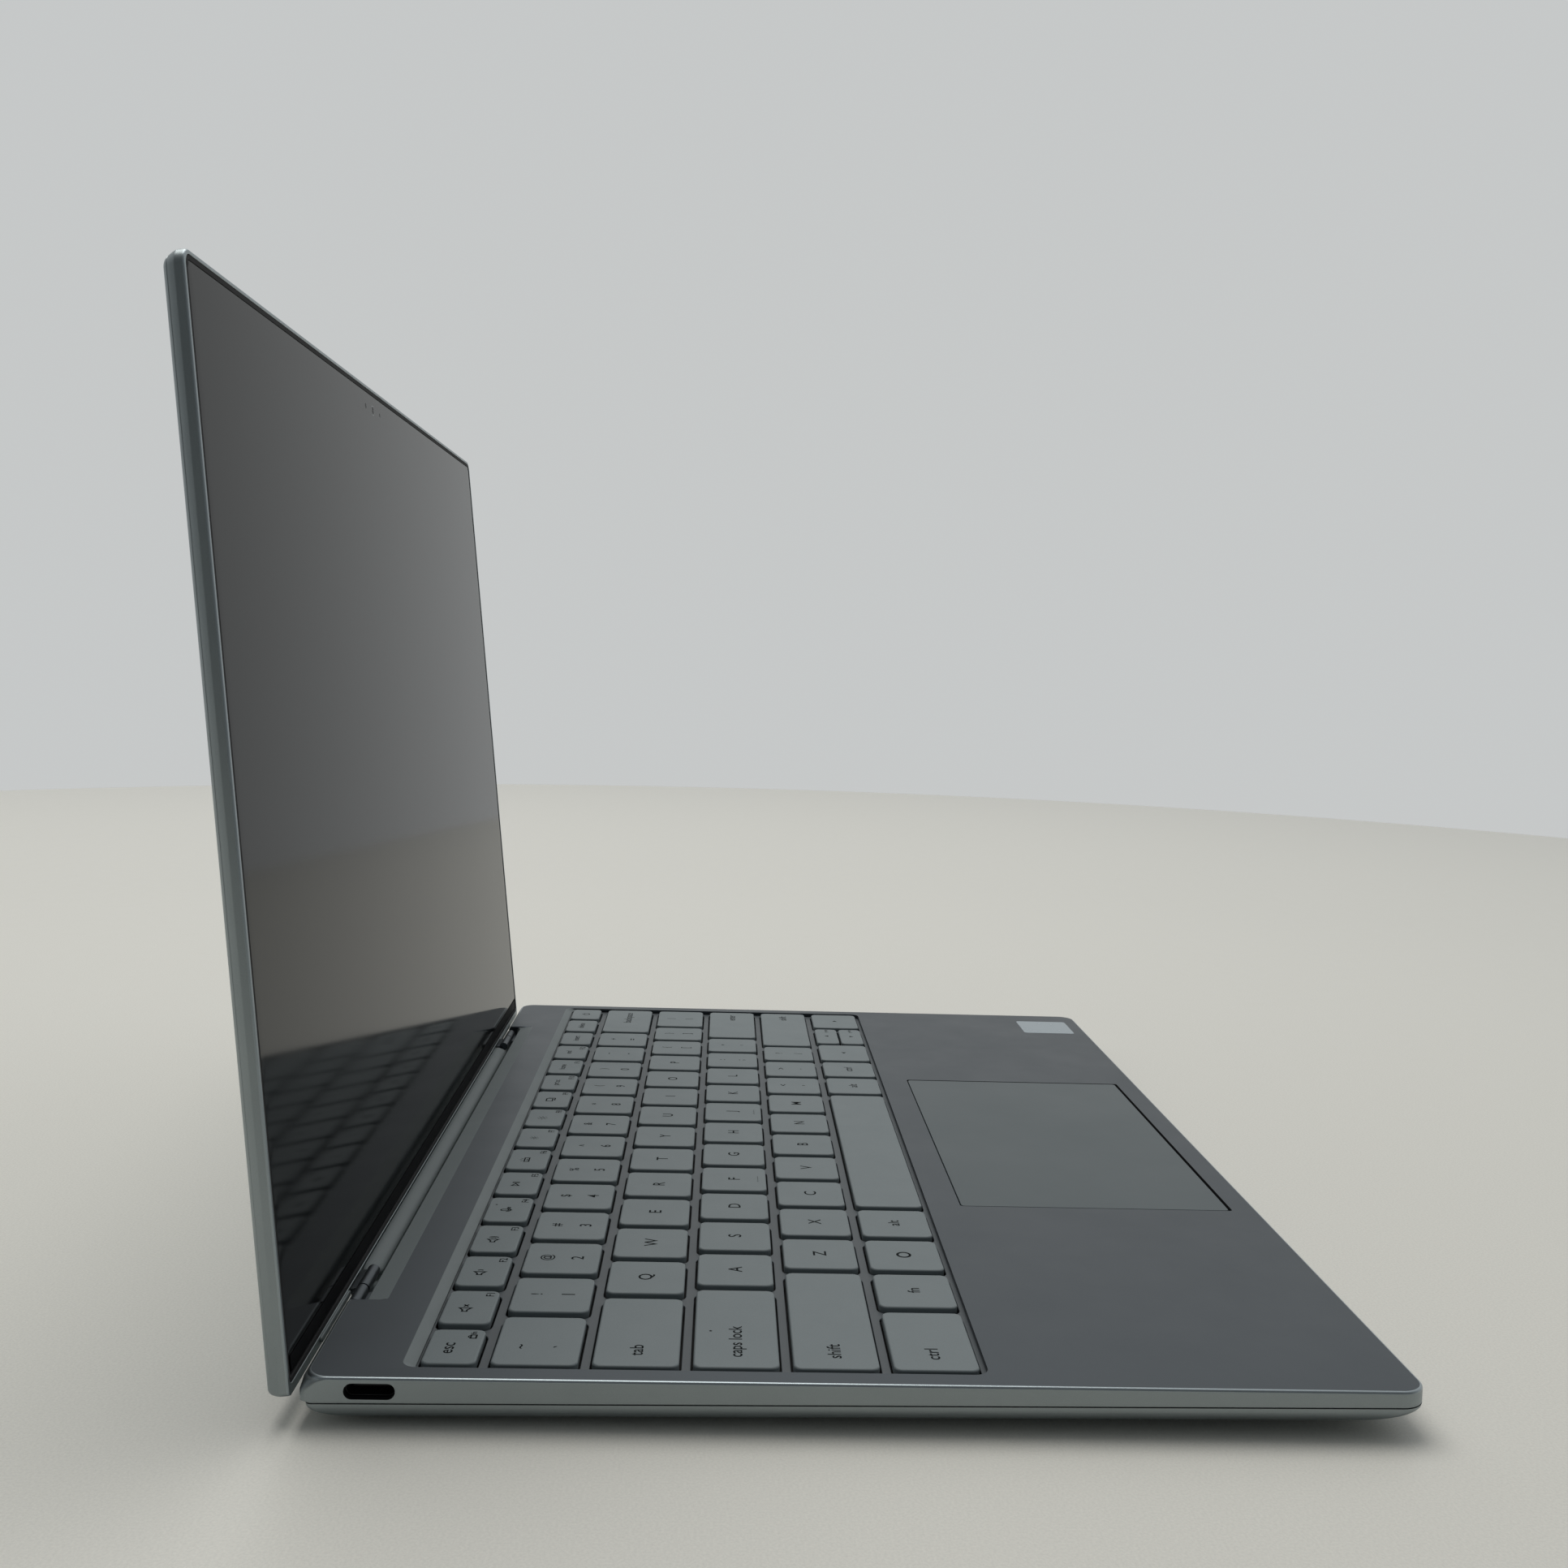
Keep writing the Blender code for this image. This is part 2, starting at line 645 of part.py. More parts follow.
def pocket_outline(inset, rear_y=POCKET_REAR_Y):
    edge = POCKET_INSET + inset
    return rounded_rect(-HALF_WIDTH + edge, HALF_WIDTH - edge, LID_FRONT_Y + edge,
                        rear_y - inset, LID_FRONT_R - edge, 5, 1.6 - inset)


def add_lid(pivot):
    hinge = (0, HINGE_Y, HINGE_Z)
    outer_z = LID_IN_Z + LID_T

    def lid_part(name, solid, finish):
        return add_part(name, solid, hinge, finish, pivot)

    shell = Solid()
    back, face = shell.stack([
        level(lid_outline(LID_BACK_INSET), outer_z),
        level(lid_outline(1.2), outer_z - 0.6),
        level(lid_outline(0.0), outer_z - 2.6),
        level(lid_outline(0.0), LID_IN_Z + 0.4),
        level(lid_outline(0.35), LID_IN_Z),
    ])
    mouth, floor = shell.stack([
        level(pocket_outline(0.0), LID_IN_Z),
        level(pocket_outline(0.0), outer_z - 0.9),
    ])
    shell.fill(back)
    shell.fill(floor)
    shell.fill(face, [mouth])
    lid_part("lid_shell", shell, "shell")

    gasket = Solid()
    inner = GLASS_INSET - GAP
    rings = [(GAP, LID_IN_Z + 0.05), (GAP, LID_IN_Z + 1.0), (inner, LID_IN_Z + 1.0), (inner, LID_IN_Z + 0.05)]
    first, last = gasket.stack([level(pocket_outline(inset), z) for inset, z in rings])
    gasket.bridge(last, first)
    lid_part("display_gasket", gasket, "rubber")

    glass_outline = pocket_outline(GLASS_INSET, GLASS_REAR_Y + GLASS_INSET)
    glass = Solid().column([level(glass_outline, z) for z in (LID_IN_Z + 0.15, LID_IN_Z + 0.85)])
    lid_part("display_glass", glass, "glass")

    chin_outline = rounded_rect(-144.6, 144.6, GLASS_REAR_Y + GAP, POCKET_REAR_Y - 1.4, 0.5, 1)
    chin = Solid().column([level(chin_outline, z) for z in (LID_IN_Z + 0.15, LID_IN_Z + 1.1)])
    lid_part("display_chin", chin, "plastic")

    panel_outline = rounded_rect(-144.6, 144.6, LID_FRONT_Y + 7.4, GLASS_REAR_Y - 1.8, 0.5, 1)
    panel = Solid().column([level(panel_outline, z) for z in (LID_IN_Z + 1.3, outer_z - 1.2)])
    lid_part("display_panel", panel, "plastic")

    camera_outline = rounded_rect(-22, 22, LID_FRONT_Y + 3.2, LID_FRONT_Y + 6.8, 0.6, 1)
    camera = Solid().column([level(camera_outline, z) for z in (LID_IN_Z + 1.3, outer_z - 1.4)])
    lid_part("camera_module", camera, "board")

    # A lip below the lid's rear edge, hollowed towards the hinge axis
    lip = [(LID_REAR_Y, LID_IN_Z - GAP), (197.6, LID_IN_Z - GAP), (197.55, -0.4), (197.8, -1.5),
           (198.25, -2.45), (198.75, -3.05), (199.1, -3.3), (LID_REAR_Y, -3.3)]
    cover = Solid().column([[(x, y, z) for y, z in lip] for x in (-HINGE_COVER_X, HINGE_COVER_X)])
    lid_part("hinge_cover", cover, "shell")

    for label, side in (("left", -1), ("right", 1)):
        x0, x1 = sorted((side * (HINGE_COVER_X + GAP), side * 104.2))
        knuckle = Solid().column([ring_x(x0, KNUCKLE_R), ring_x(x1, KNUCKLE_R)])
        arm = lid_part("hinge_arm_" + label, knuckle, "steel")
        leaf = Solid().box(x0, x1, HINGE_Y - 0.4, LID_REAR_Y, HINGE_Z + 0.3, LID_IN_Z - GAP)
        join(arm, lid_part("hinge_leaf_" + label, leaf, "steel"))


def main():
    for item in list(bpy.data.objects):
        bpy.data.objects.remove(item, do_unlink=True)
    add_top_case()
    add_keyboard_tray()
    add_keys()
    add_touchpad()
    add_bottom_cover()
    add_screws()
    add_foot("front_foot", 24.0, 118.0, 3.5)
    add_foot("rear_foot", 168.0, 118.0, 3.5)
    add_port_shells()
    add_fan()
    add_internals()
    add_hinge_brackets()
    pivot = bpy.data.objects.new("lid_pivot", None)
    bpy.context.collection.objects.link(pivot)
    pivot.location = to_world((0, HINGE_Y, HINGE_Z))
    pivot.rotation_euler.x = -math.radians(OPEN_DEG)
    add_lid(pivot)


main()
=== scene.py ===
"""Looks of the slim clamshell laptop: detailed shells, keycaps, screen and materials, built around
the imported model.

Shapes are given in millimetres in chassis coordinates: X to the user's right, Y from the base's
front edge to the hinge, Z up from the deck plane. The lid is described shut and turned open.
"""
import json
import math

import bmesh
import bpy
from mathutils import Matrix, Vector


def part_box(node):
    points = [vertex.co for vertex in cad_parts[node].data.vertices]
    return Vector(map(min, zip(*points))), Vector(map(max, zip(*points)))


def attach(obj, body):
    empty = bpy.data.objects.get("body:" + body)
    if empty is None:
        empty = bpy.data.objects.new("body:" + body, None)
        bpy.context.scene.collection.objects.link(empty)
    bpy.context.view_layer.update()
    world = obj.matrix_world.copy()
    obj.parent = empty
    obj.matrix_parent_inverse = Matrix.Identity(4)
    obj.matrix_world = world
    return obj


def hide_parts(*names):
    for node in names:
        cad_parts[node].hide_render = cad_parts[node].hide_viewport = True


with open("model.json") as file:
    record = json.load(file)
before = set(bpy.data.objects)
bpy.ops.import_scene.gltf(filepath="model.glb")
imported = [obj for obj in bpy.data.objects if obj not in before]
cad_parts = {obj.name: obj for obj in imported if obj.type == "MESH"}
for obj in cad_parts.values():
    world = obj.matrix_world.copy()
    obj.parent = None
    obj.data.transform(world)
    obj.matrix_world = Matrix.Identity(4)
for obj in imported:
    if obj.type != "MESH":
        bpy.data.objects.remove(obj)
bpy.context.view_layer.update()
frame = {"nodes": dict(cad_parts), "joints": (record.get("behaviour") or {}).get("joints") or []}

MM = 0.001
DECK_LOW, DECK_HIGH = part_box("palmrest_deck")
COVER_LOW, COVER_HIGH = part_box("bottom_cover")
FRONT_Y = DECK_LOW[1]
DECK_Z = DECK_HIGH[2]
HALF_WIDTH = DECK_HIGH[0] / MM
BASE_DEPTH = (DECK_HIGH[1] - FRONT_Y) / MM
FLOOR_Z = -DECK_Z / MM
CORNER_R = 5.0                  # front corners of the base
REAR_TOP_R = 4.0                # its rear corners, at deck level ...
REAR_R = 1.2                    # ... and below
WALL = 1.3
FIT = 0.3                       # clearance between neighbouring shells

LID_JOINT = next(joint for joint in frame["joints"] if joint["name"] == "lid_hinge")
HINGE = Vector(LID_JOINT["pos_m"])
HINGE_Y = (HINGE.y - FRONT_Y) / MM
HINGE_Z = (HINGE.z - DECK_Z) / MM
OPEN_ANGLE = -math.radians(LID_JOINT["range_deg"][0])

# The base is a wedge: the seam and the underside both fall towards the hinge
WEDGE = 1.7 / 199.0
SEAM_FRONT_Z = -2.9
UNDER_FRONT_Z = -6.4

# Lid, shut
LID_IN_Z = 0.6
LID_OUT_Z = 4.9
LID_FRONT_Y = 0.6
LID_REAR_Y = 199.3
LID_FRONT_R = 3.4
LID_REAR_R = 1.2
GLASS_REAR_Y = 193.0            # the black chin is below the glass
POCKET_REAR_Y = 197.5
CHIN_X = 144.6                  # half width of the black strip
POCKET_INSET = 0.9
GLASS_INSET = 1.1
NOTCH_X = 114.0                 # half width of the slot that the hinge cover turns in
NOTCH_Y = 191.0                 # where the deck starts to fall towards the slot
SLOT_Y = 195.1
HINGE_COVER_X = 94.0
KNUCKLE_R = 1.3

# Keyboard
PITCH = 19.05
ROW_PITCH = 18.05
KEYS_FRONT_Y = 78.3
FN_ROW_DEPTH = 12.3
KEY_GAP = 2.5
SKIRT_Z = -1.9
STEM_Z = -2.5
TRAY_Z = -1.2

PAD_X = 55.3                    # half width of the touchpad
PAD_FRONT_Y, PAD_REAR_Y = 6.7, 70.2

PORT_Y, PORT_Z = 187.0, -2.4
PORT_LENGTH, PORT_HEIGHT = 8.94, 2.8
CONTACTS, CONTACT_PITCH = 12, 0.5


def place(x, y, z):
    """Chassis millimetres to the row frame's metres."""
    return Vector((x * MM, FRONT_Y + y * MM, DECK_Z + z * MM))


LID_TURN = Matrix.Translation(HINGE) @ Matrix.Rotation(-OPEN_ANGLE, 4, 'X') @ Matrix.Translation(-HINGE)


# Materials ----------------------------------------------------------------------------------
class Look:
    """A Principled material whose textures are read in the object's own coordinates."""

    def __init__(self, name, colour, roughness, metallic=0.0, **constants):
        self.material = bpy.data.materials.new(name)
        self.material.use_nodes = True
        self.nodes = self.material.node_tree.nodes
        self.links = self.material.node_tree.links
        self.shader = self.nodes["Principled BSDF"]
        self.shader.inputs["Base Color"].default_value = (*colour, 1.0)
        self.shader.inputs["Roughness"].default_value = roughness
        self.shader.inputs["Metallic"].default_value = metallic
        for socket, value in constants.items():
            self.shader.inputs[socket.replace("_", " ")].default_value = value
        self.place = self.nodes.new("ShaderNodeTexCoord").outputs["Object"]
        self.colour = colour
        self.roughness = roughness

    def noise(self, size_mm, detail=2.0):
        node = self.nodes.new("ShaderNodeTexNoise")
        node.inputs["Scale"].default_value = 1.0 / (size_mm * MM)
        node.inputs["Detail"].default_value = detail
        self.links.new(self.place, node.inputs["Vector"])
        return node.outputs["Fac"]

    def remap(self, value, low, high):
        node = self.nodes.new("ShaderNodeMapRange")
        node.inputs["From Min"].default_value = 0.3
        node.inputs["From Max"].default_value = 0.7
        node.inputs["To Min"].default_value = low
        node.inputs["To Max"].default_value = high
        self.links.new(value, node.inputs["Value"])
        return node.outputs["Result"]

    def mottle(self, size_mm, spread, detail=2.0):
        """Vary the colour about its mean by +-spread."""
        ramp = self.nodes.new("ShaderNodeValToRGB")
        ramp.color_ramp.elements[0].position = 0.3
        ramp.color_ramp.elements[1].position = 0.7
        ramp.color_ramp.elements[0].color = (*[c * (1 - spread) for c in self.colour], 1.0)
        ramp.color_ramp.elements[1].color = (*[c * (1 + spread) for c in self.colour], 1.0)
        self.links.new(self.noise(size_mm, detail), ramp.inputs["Fac"])
        self.links.new(ramp.outputs["Color"], self.shader.inputs["Base Color"])
        return self

    def vary_roughness(self, size_mm, spread):
        value = self.remap(self.noise(size_mm, 3.0), self.roughness - spread, self.roughness + spread)
        self.links.new(value, self.shader.inputs["Roughness"])
        return self

    def grain(self, size_mm, strength, height_mm=0.01):
        bump = self.nodes.new("ShaderNodeBump")
        bump.inputs["Strength"].default_value = strength
        bump.inputs["Distance"].default_value = height_mm * MM
        self.links.new(self.noise(size_mm, 3.0), bump.inputs["Height"])
        self.links.new(bump.outputs["Normal"], self.shader.inputs["Normal"])
        return self


def anodised(name, colour, roughness=0.42):
    look = Look(name, colour, roughness, 0.9)
    return look.mottle(0.12, 0.07, 3.0).vary_roughness(18.0, 0.03).grain(0.10, 0.35, 0.006).material


def moulded(name, colour, roughness, size_mm=0.15):
    look = Look(name, colour, roughness, 0.0, Specular_IOR_Level=0.4)
    return look.mottle(size_mm, 0.05).vary_roughness(8.0, 0.03).grain(size_mm, 0.3, 0.006).material


def metal(name, colour, roughness):
    look = Look(name, colour, roughness, 1.0)
    return look.mottle(0.3, 0.06).vary_roughness(3.0, 0.05).grain(0.08, 0.3, 0.004).material


# Deck aluminium: the shell's aluminium darkened as painted shade. The deck top, bay walls, slot end walls and hinge
# knuckles use it.
SHADED_DECK = anodised("deck_aluminium_painted_shade", (0.088, 0.101, 0.113), 0.42)
SHELL = anodised("shell_aluminium", (0.32, 0.36, 0.373), 0.40)
# Lighter, glossier aluminium on the rounded edges of the deck and the lid face: a painted highlight along these
# edges.
EDGE_HIGHLIGHT = anodised("edge_aluminium_painted_highlight", (0.38, 0.43, 0.455), 0.33)
# A lighter grey for the slot ramp, the bay's rear slope, the hinge lip and the wings: partly their own grey, partly
# a painted highlight.
RAMP = moulded("ramp_grey_and_painted_highlight", (0.180, 0.208, 0.216), 0.55)
TRAY = moulded("tray_finish", (0.082, 0.095, 0.105), 0.45)
KEYCAP = moulded("keycap_plastic", (0.195, 0.228, 0.240), 0.50)
LEGEND = (Look("legend_ink", (0.010, 0.012, 0.013), 0.80, 0.0, Specular_IOR_Level=0.08)
          .mottle(0.2, 0.1).grain(0.1, 0.2).material)
# Black plastic, also used as painted shade in the port holes, the touchpad opening, the socket ends and the
# keyboard slits.
BLACK = moulded("black_plastic_and_painted_shade", (0.012, 0.012, 0.013), 0.55)
RUBBER = moulded("rubber", (0.022, 0.022, 0.024), 0.85, 0.3)
STEEL = metal("dark_steel", (0.20, 0.20, 0.21), 0.38)
BRIGHT = metal("bright_steel", (0.62, 0.63, 0.65), 0.25)
COPPER = metal("copper", (0.60, 0.31, 0.20), 0.35)
BOARD = moulded("circuit_board", (0.015, 0.055, 0.085), 0.50, 1.5)
LABEL = moulded("label_film", (0.34, 0.40, 0.44), 0.25)
CHIN = (Look("chin_film", (0.004, 0.004, 0.005), 0.55, 0.0, Specular_IOR_Level=0.04)
        .mottle(0.4, 0.05).grain(0.2, 0.1).material)
FAN = moulded("fan_plastic", (0.020, 0.020, 0.022), 0.45)
BATTERY = moulded("battery_wrap", (0.030, 0.030, 0.034), 0.60, 2.0)
PANEL = moulded("panel_film", (0.050, 0.050, 0.054), 0.40, 4.0)
TABLE = moulded("table_laminate", (0.850, 0.835, 0.775), 0.42, 0.5)


def touchpad_look():
    look = Look("touchpad_glass", (0.066, 0.088, 0.096), 0.36, 0.0, Specular_IOR_Level=0.4)
    return look.mottle(0.2, 0.03).vary_roughness(25.0, 0.02).grain(0.08, 0.12, 0.003).material


def screen_look(name, colour):
    look = Look(name, colour, 0.085, 0.0, Specular_IOR_Level=0.1)
    return look.mottle(30.0, 0.08).vary_roughness(40.0, 0.015).grain(0.06, 0.05, 0.002).material


TOUCHPAD = touchpad_look()
SCREEN = screen_look("screen_glass", (0.005, 0.0055, 0.006))
BEZEL = screen_look("bezel_glass", (0.004, 0.004, 0.0045))


# Outlines -----------------------------------------------------------------------------------
def arc(cx, cy, radius, start_deg, end_deg, steps):
    points = []
    for i in range(steps + 1):
        angle = math.radians(start_deg + (end_deg - start_deg) * i / steps)
        points.append((cx + radius * math.cos(angle), cy + radius * math.sin(angle)))
    return points


def rounded_rect(x0, x1, y0, y1, radius, steps=6, rear_radius=None):
    rear = radius if rear_radius is None else rear_radius
    return (arc(x1 - radius, y0 + radius, radius, -90, 0, steps)
            + arc(x1 - rear, y1 - rear, rear, 0, 90, steps)
            + arc(x0 + rear, y1 - rear, rear, 90, 180, steps)
            + arc(x0 + radius, y0 + radius, radius, 180, 270, steps))


def circle(cx, cy, radius, steps=24):
    return arc(cx, cy, radius, 0, 360, steps)[:-1]


def stadium(length, height, steps=10):
    radius = height / 2
    half = length / 2 - radius
    return arc(half, 0, radius, -90, 90, steps) + arc(-half, 0, radius, 90, 270, steps)


def base_outline(inset, rear_y, notch_y=None, front=None, rear_r=REAR_R, front_r=None):
    """Outline of the base at one height; notch_y cuts the hinge slot into the rear edge."""
    x = HALF_WIDTH - inset
    y0 = inset if front is None else front
    radius = front_r or max(CORNER_R - inset, 1.0)
    points = arc(x - radius, y0 + radius, radius, -90, 0, 14)
    points += arc(x - rear_r, rear_y - rear_r, rear_r, 0, 90, 14)
    if notch_y is not None:
        half = NOTCH_X + inset
        soft = 1.2
        points += [(half, rear_y)]
        points += arc(half - soft, notch_y + soft, soft, 0, -90, 5)
        points += arc(-half + soft, notch_y + soft, soft, 270, 180, 5)
        points += [(-half, rear_y)]
    points += arc(-x + rear_r, rear_y - rear_r, rear_r, 90, 180, 14)
    points += arc(-x + radius, y0 + radius, radius, 180, 270, 14)
    return points


def level(outline, z):
    if callable(z):
        return [(x, y, z(y)) for x, y in outline]
    return [(x, y, z) for x, y in outline]


def seam_z(y):
    return SEAM_FRONT_Z - WEDGE * y


def under_z(y):
    return UNDER_FRONT_Z - WEDGE * y


# Mesh building ------------------------------------------------------------------------------
class Piece:
    """Loops of points, in chassis millimetres, made into one mesh that rides on a body."""

    def __init__(self, *materials):
        self.bm = bmesh.new()
        self.materials = materials
        self.paint = 0

    def loop(self, points):
        return [self.bm.verts.new(point) for point in points]

    def face(self, verts):
        made = self.bm.faces.new(verts)
        made.material_index = self.paint
        return made

    def bridge(self, a, b):
        for i, start in enumerate(a):
            j = (i + 1) % len(a)
            self.face((start, a[j], b[j], b[i]))

    def fill(self, outer, holes=()):
        if not holes:
            self.face(outer)
            return
        edges = []
        for ring in (outer, *holes):
            for i, vert in enumerate(ring):
                after = ring[(i + 1) % len(ring)]
                edges.append(self.bm.edges.get((vert, after)) or self.bm.edges.new((vert, after)))
        made = bmesh.ops.triangle_fill(self.bm, use_beauty=True, edges=edges)
        for item in made["geom"]:
            if isinstance(item, bmesh.types.BMFace):
                item.material_index = self.paint

    def stack(self, rings):
        loops = [self.loop(ring) for ring in rings]
        for a, b in zip(loops, loops[1:]):
            self.bridge(a, b)
        return loops[0], loops[-1]

    def column(self, rings):
        first, last = self.stack(rings)
        self.fill(first)
        self.fill(last)
        return self

    def box(self, x0, x1, y0, y1, z0, z1, soft=0.15):
        rings = []
        for z, inset in ((z0, soft), (z0 + soft, 0.0), (z1 - soft, 0.0), (z1, soft)):
            rings.append(level(rounded_rect(x0 + inset, x1 - inset, y0 + inset, y1 - inset,
                                            soft + 0.1, 2), z))
        return self.column(rings)

    def flat(self, verts, up=1):
        """A printed face: its front is turned up (1) or down (-1) and left so."""
        area = sum(a.co.x * b.co.y - b.co.x * a.co.y for a, b in zip(verts, verts[1:] + verts[:1]))
        made = self.face(verts if area * up > 0 else verts[::-1])
        made.tag = True

    def ribbon(self, points, width, z, up=1):
        """A flat stroke of even width through (x, y) points, for printed symbols."""
        closed = (Vector(points[0]) - Vector(points[-1])).length < 1e-6
        if closed:
            points = points[:-1]
        count = len(points)
        sides = []
        for i, (x, y) in enumerate(points):
            before = Vector(points[(i - 1) % count] if closed else points[max(i - 1, 0)])
            after = Vector(points[(i + 1) % count] if closed else points[min(i + 1, count - 1)])
            into = (Vector((x, y)) - before).normalized()
            out = (after - Vector((x, y))).normalized()
            along = (into + out).normalized()
            stretch = 1 / max(math.cos(into.angle(out, 0.0) / 2), 0.4)
            across = Vector((-along.y, along.x)) * (width / 2 * stretch)
            sides.append((self.bm.verts.new((x + across.x, y + across.y, z)),
                          self.bm.verts.new((x - across.x, y - across.y, z))))
        pairs = list(zip(sides, sides[1:]))
        if closed:
            pairs.append((sides[-1], sides[0]))
        for a, b in pairs:
            self.flat([a[0], a[1], b[1], b[0]], up)

    def make(self, name, turn=None):
        bm = self.bm
        bmesh.ops.recalc_face_normals(bm, faces=[face for face in bm.faces if not face.tag])
        for vert in bm.verts:
            vert.co = place(*vert.co)
        if turn is not None:
            bm.transform(turn)
        mesh = bpy.data.meshes.new(name)
        bm.to_mesh(mesh)
        bm.free()
        for material in self.materials:
            mesh.materials.append(material)
        made = bpy.data.objects.new(name, mesh)
        bpy.context.collection.objects.link(made)
        return made

    def finish(self, name, body, replaces=(), turn=None, smooth_deg=35, holes=()):
        piece = self.make(name, turn)
        cutters = [hole.make("cutter") for hole in holes]
        for cutter in cutters:
            modifier = piece.modifiers.new("cut", 'BOOLEAN')
            modifier.operation = 'DIFFERENCE'
            modifier.solver = 'EXACT'
            modifier.object = cutter
        if cutters:
            graph = bpy.context.evaluated_depsgraph_get()
            whole = bpy.data.meshes.new_from_object(piece.evaluated_get(graph))
            piece.modifiers.clear()
            piece.data = whole
            whole.name = name
            for cutter in cutters:
                bpy.data.objects.remove(cutter, do_unlink=True)
        piece.data.shade_smooth()
        piece.data.set_sharp_from_angle(angle=math.radians(smooth_deg))
        soften = piece.modifiers.new("even_shading", 'WEIGHTED_NORMAL')
        soften.keep_sharp = True
        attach(piece, body)
        if replaces:
            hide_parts(*replaces)
        return piece


def rounded_edge(radius, steps=4):
    """(inset, drop) pairs from the flat top round to the upright side."""
    pairs = []
    for i in range(steps + 1):
        angle = math.radians(90 * i / steps)
        pairs.append((radius * (1 - math.sin(angle)), radius * (1 - math.cos(angle))))
    return pairs


def sideways(outline, x, y, z):
    """Stand an (along, up) outline on a plane of constant X."""
    return [(x, y + along, z + up) for along, up in outline]


# Base: top case -----------------------------------------------------------------------------
BAY = (-143.2, 143.2, 78.2, 182.6)
BAY_SLOPE = 2.5                 # how far its rear wall leans, per unit of depth
PAD_OPENING = (-55.65, 55.65, 6.0, 70.5)
RAMP_Z = -0.65                  # depth of the ramp where it meets the hinge slot


def bay_outline(z):
    """The keyboard bay: its rear wall slopes, the others are upright."""
    x0, x1, y0, y1 = BAY
    return level(rounded_rect(x0, x1, y0, y1 + BAY_SLOPE * z, 2.6), z)


def case_rings():
    rings = []
    for inset, drop in rounded_edge(0.5, 5):
        ramp = NOTCH_Y + (SLOT_Y - NOTCH_Y) * drop / -RAMP_Z
        rings.append(level(base_outline(inset, 198.5 - inset, ramp, rear_r=REAR_TOP_R), -drop))
    return rings


def top_case():
    case = Piece(SHADED_DECK, EDGE_HIGHLIGHT, SHELL, RAMP, BLACK)
    # The deck's rounded edge takes the painted highlight.
    case.paint = 1
    crown, shoulder = case.stack(case_rings())
    case.paint = 2
    sides = case.stack([
        level(base_outline(0.0, 198.8, SLOT_Y - 0.05, rear_r=3.4), RAMP_Z),
        level(base_outline(0.0, 198.9, SLOT_Y + 0.15, rear_r=3.0), RAMP_Z - 0.2),
        level(base_outline(0.0, BASE_DEPTH - 0.05, SLOT_Y + 0.2), -2.4),
        level(base_outline(0.0, BASE_DEPTH - 0.1, SLOT_Y + 0.2), lambda y: seam_z(y) + 0.4),
        level(base_outline(0.0, 198.2, SLOT_Y + 0.2), lambda y: seam_z(y) + 0.12),
        level(base_outline(0.1, 198.1, SLOT_Y + 0.2), seam_z),
    ])
    case.bridge(shoulder, sides[0])
    case.paint = 0
    inside = case.stack([level(base_outline(WALL, 196.3, SLOT_Y - WALL), seam_z),
                         level(base_outline(WALL, 196.0, NOTCH_Y - WALL), -0.9)])
    case.bridge(sides[1], inside[0])
    bay_top, bay_low = case.stack([bay_outline(0.0), bay_outline(-0.12), bay_outline(-0.9)])
    # The touchpad opening's walls are black: painted shade in the gap round the pad.
    case.paint = 4
    pad_top, pad_low = case.stack([level(rounded_rect(*PAD_OPENING, 0.7, 3), z) for z in (0.0, -0.9)])
    # The deck top is filled in the darkened deck aluminium: painted shade.
    case.paint = 0
    case.fill(crown, [bay_top, pad_top])
    case.fill(inside[1], [bay_low, pad_low])
    for face in case.bm.faces:
        middle = face.calc_center_median()
        in_slot = abs(middle.x) < NOTCH_X - 0.1 and NOTCH_Y < middle.y < SLOT_Y + 0.1
        at_end = NOTCH_X - 0.1 <= abs(middle.x) < NOTCH_X + 0.6 and NOTCH_Y < middle.y < BASE_DEPTH - 0.3
        # The slot ramp takes the lighter grey, partly a painted highlight.
        if in_slot and -0.7 < middle.z < -0.001:
            face.material_index = 3
        # The slot's end walls take the darkened deck aluminium: painted shade at the slot ends.
        elif at_end and middle.z < -0.001:
            face.material_index = 0
        # The bay's rear slope takes the lighter grey while its other walls stay deck-coloured: a painted highlight
        # on the slope.
        elif (BAY[2] - 0.5 < middle.y < BAY[3] + 0.01 and -0.95 < middle.z < -0.005
              and abs(middle.x) < BAY[1] + 0.01):
            face.material_index = 3 if middle.y > BAY[3] - 3 else 0
    holes = []
    for side in (-1, 1):
        hole = Piece()
        # The port holes' cut walls are black: painted shade in the holes.
        hole.paint = 4
        outline = stadium(PORT_LENGTH, PORT_HEIGHT, 14)
        hole.column([sideways(outline, side * x, PORT_Y, PORT_Z)
                     for x in (HALF_WIDTH - WALL - 1, HALF_WIDTH + 1)])
        holes.append(hole)
    case.finish("top_case", "base", ["palmrest_deck"], holes=holes)


def sticker():
    """A blank label in the front right corner of the palm rest."""
    label = Piece(LABEL)
    label.column([level(rounded_rect(120.8 + i, 138.2 - i, 4.4 + i, 21.8 - i, 1.0), z)
                  for z, i in ((0.0, 0.0), (0.03, 0.0), (0.05, 0.04))])
    label.finish("palmrest_label", "base")


# Keyboard -----------------------------------------------------------------------------------
def unit_row(widths):
    cells = []
    left = -15 * PITCH / 2
    for width in widths:
        cells.append((left, left + width * PITCH))
        left += width * PITCH
    return cells


FUNCTION = 18.0 / PITCH
END = (15 - 14 * FUNCTION) / 2
ARROW = (15 - 11.5) / 3

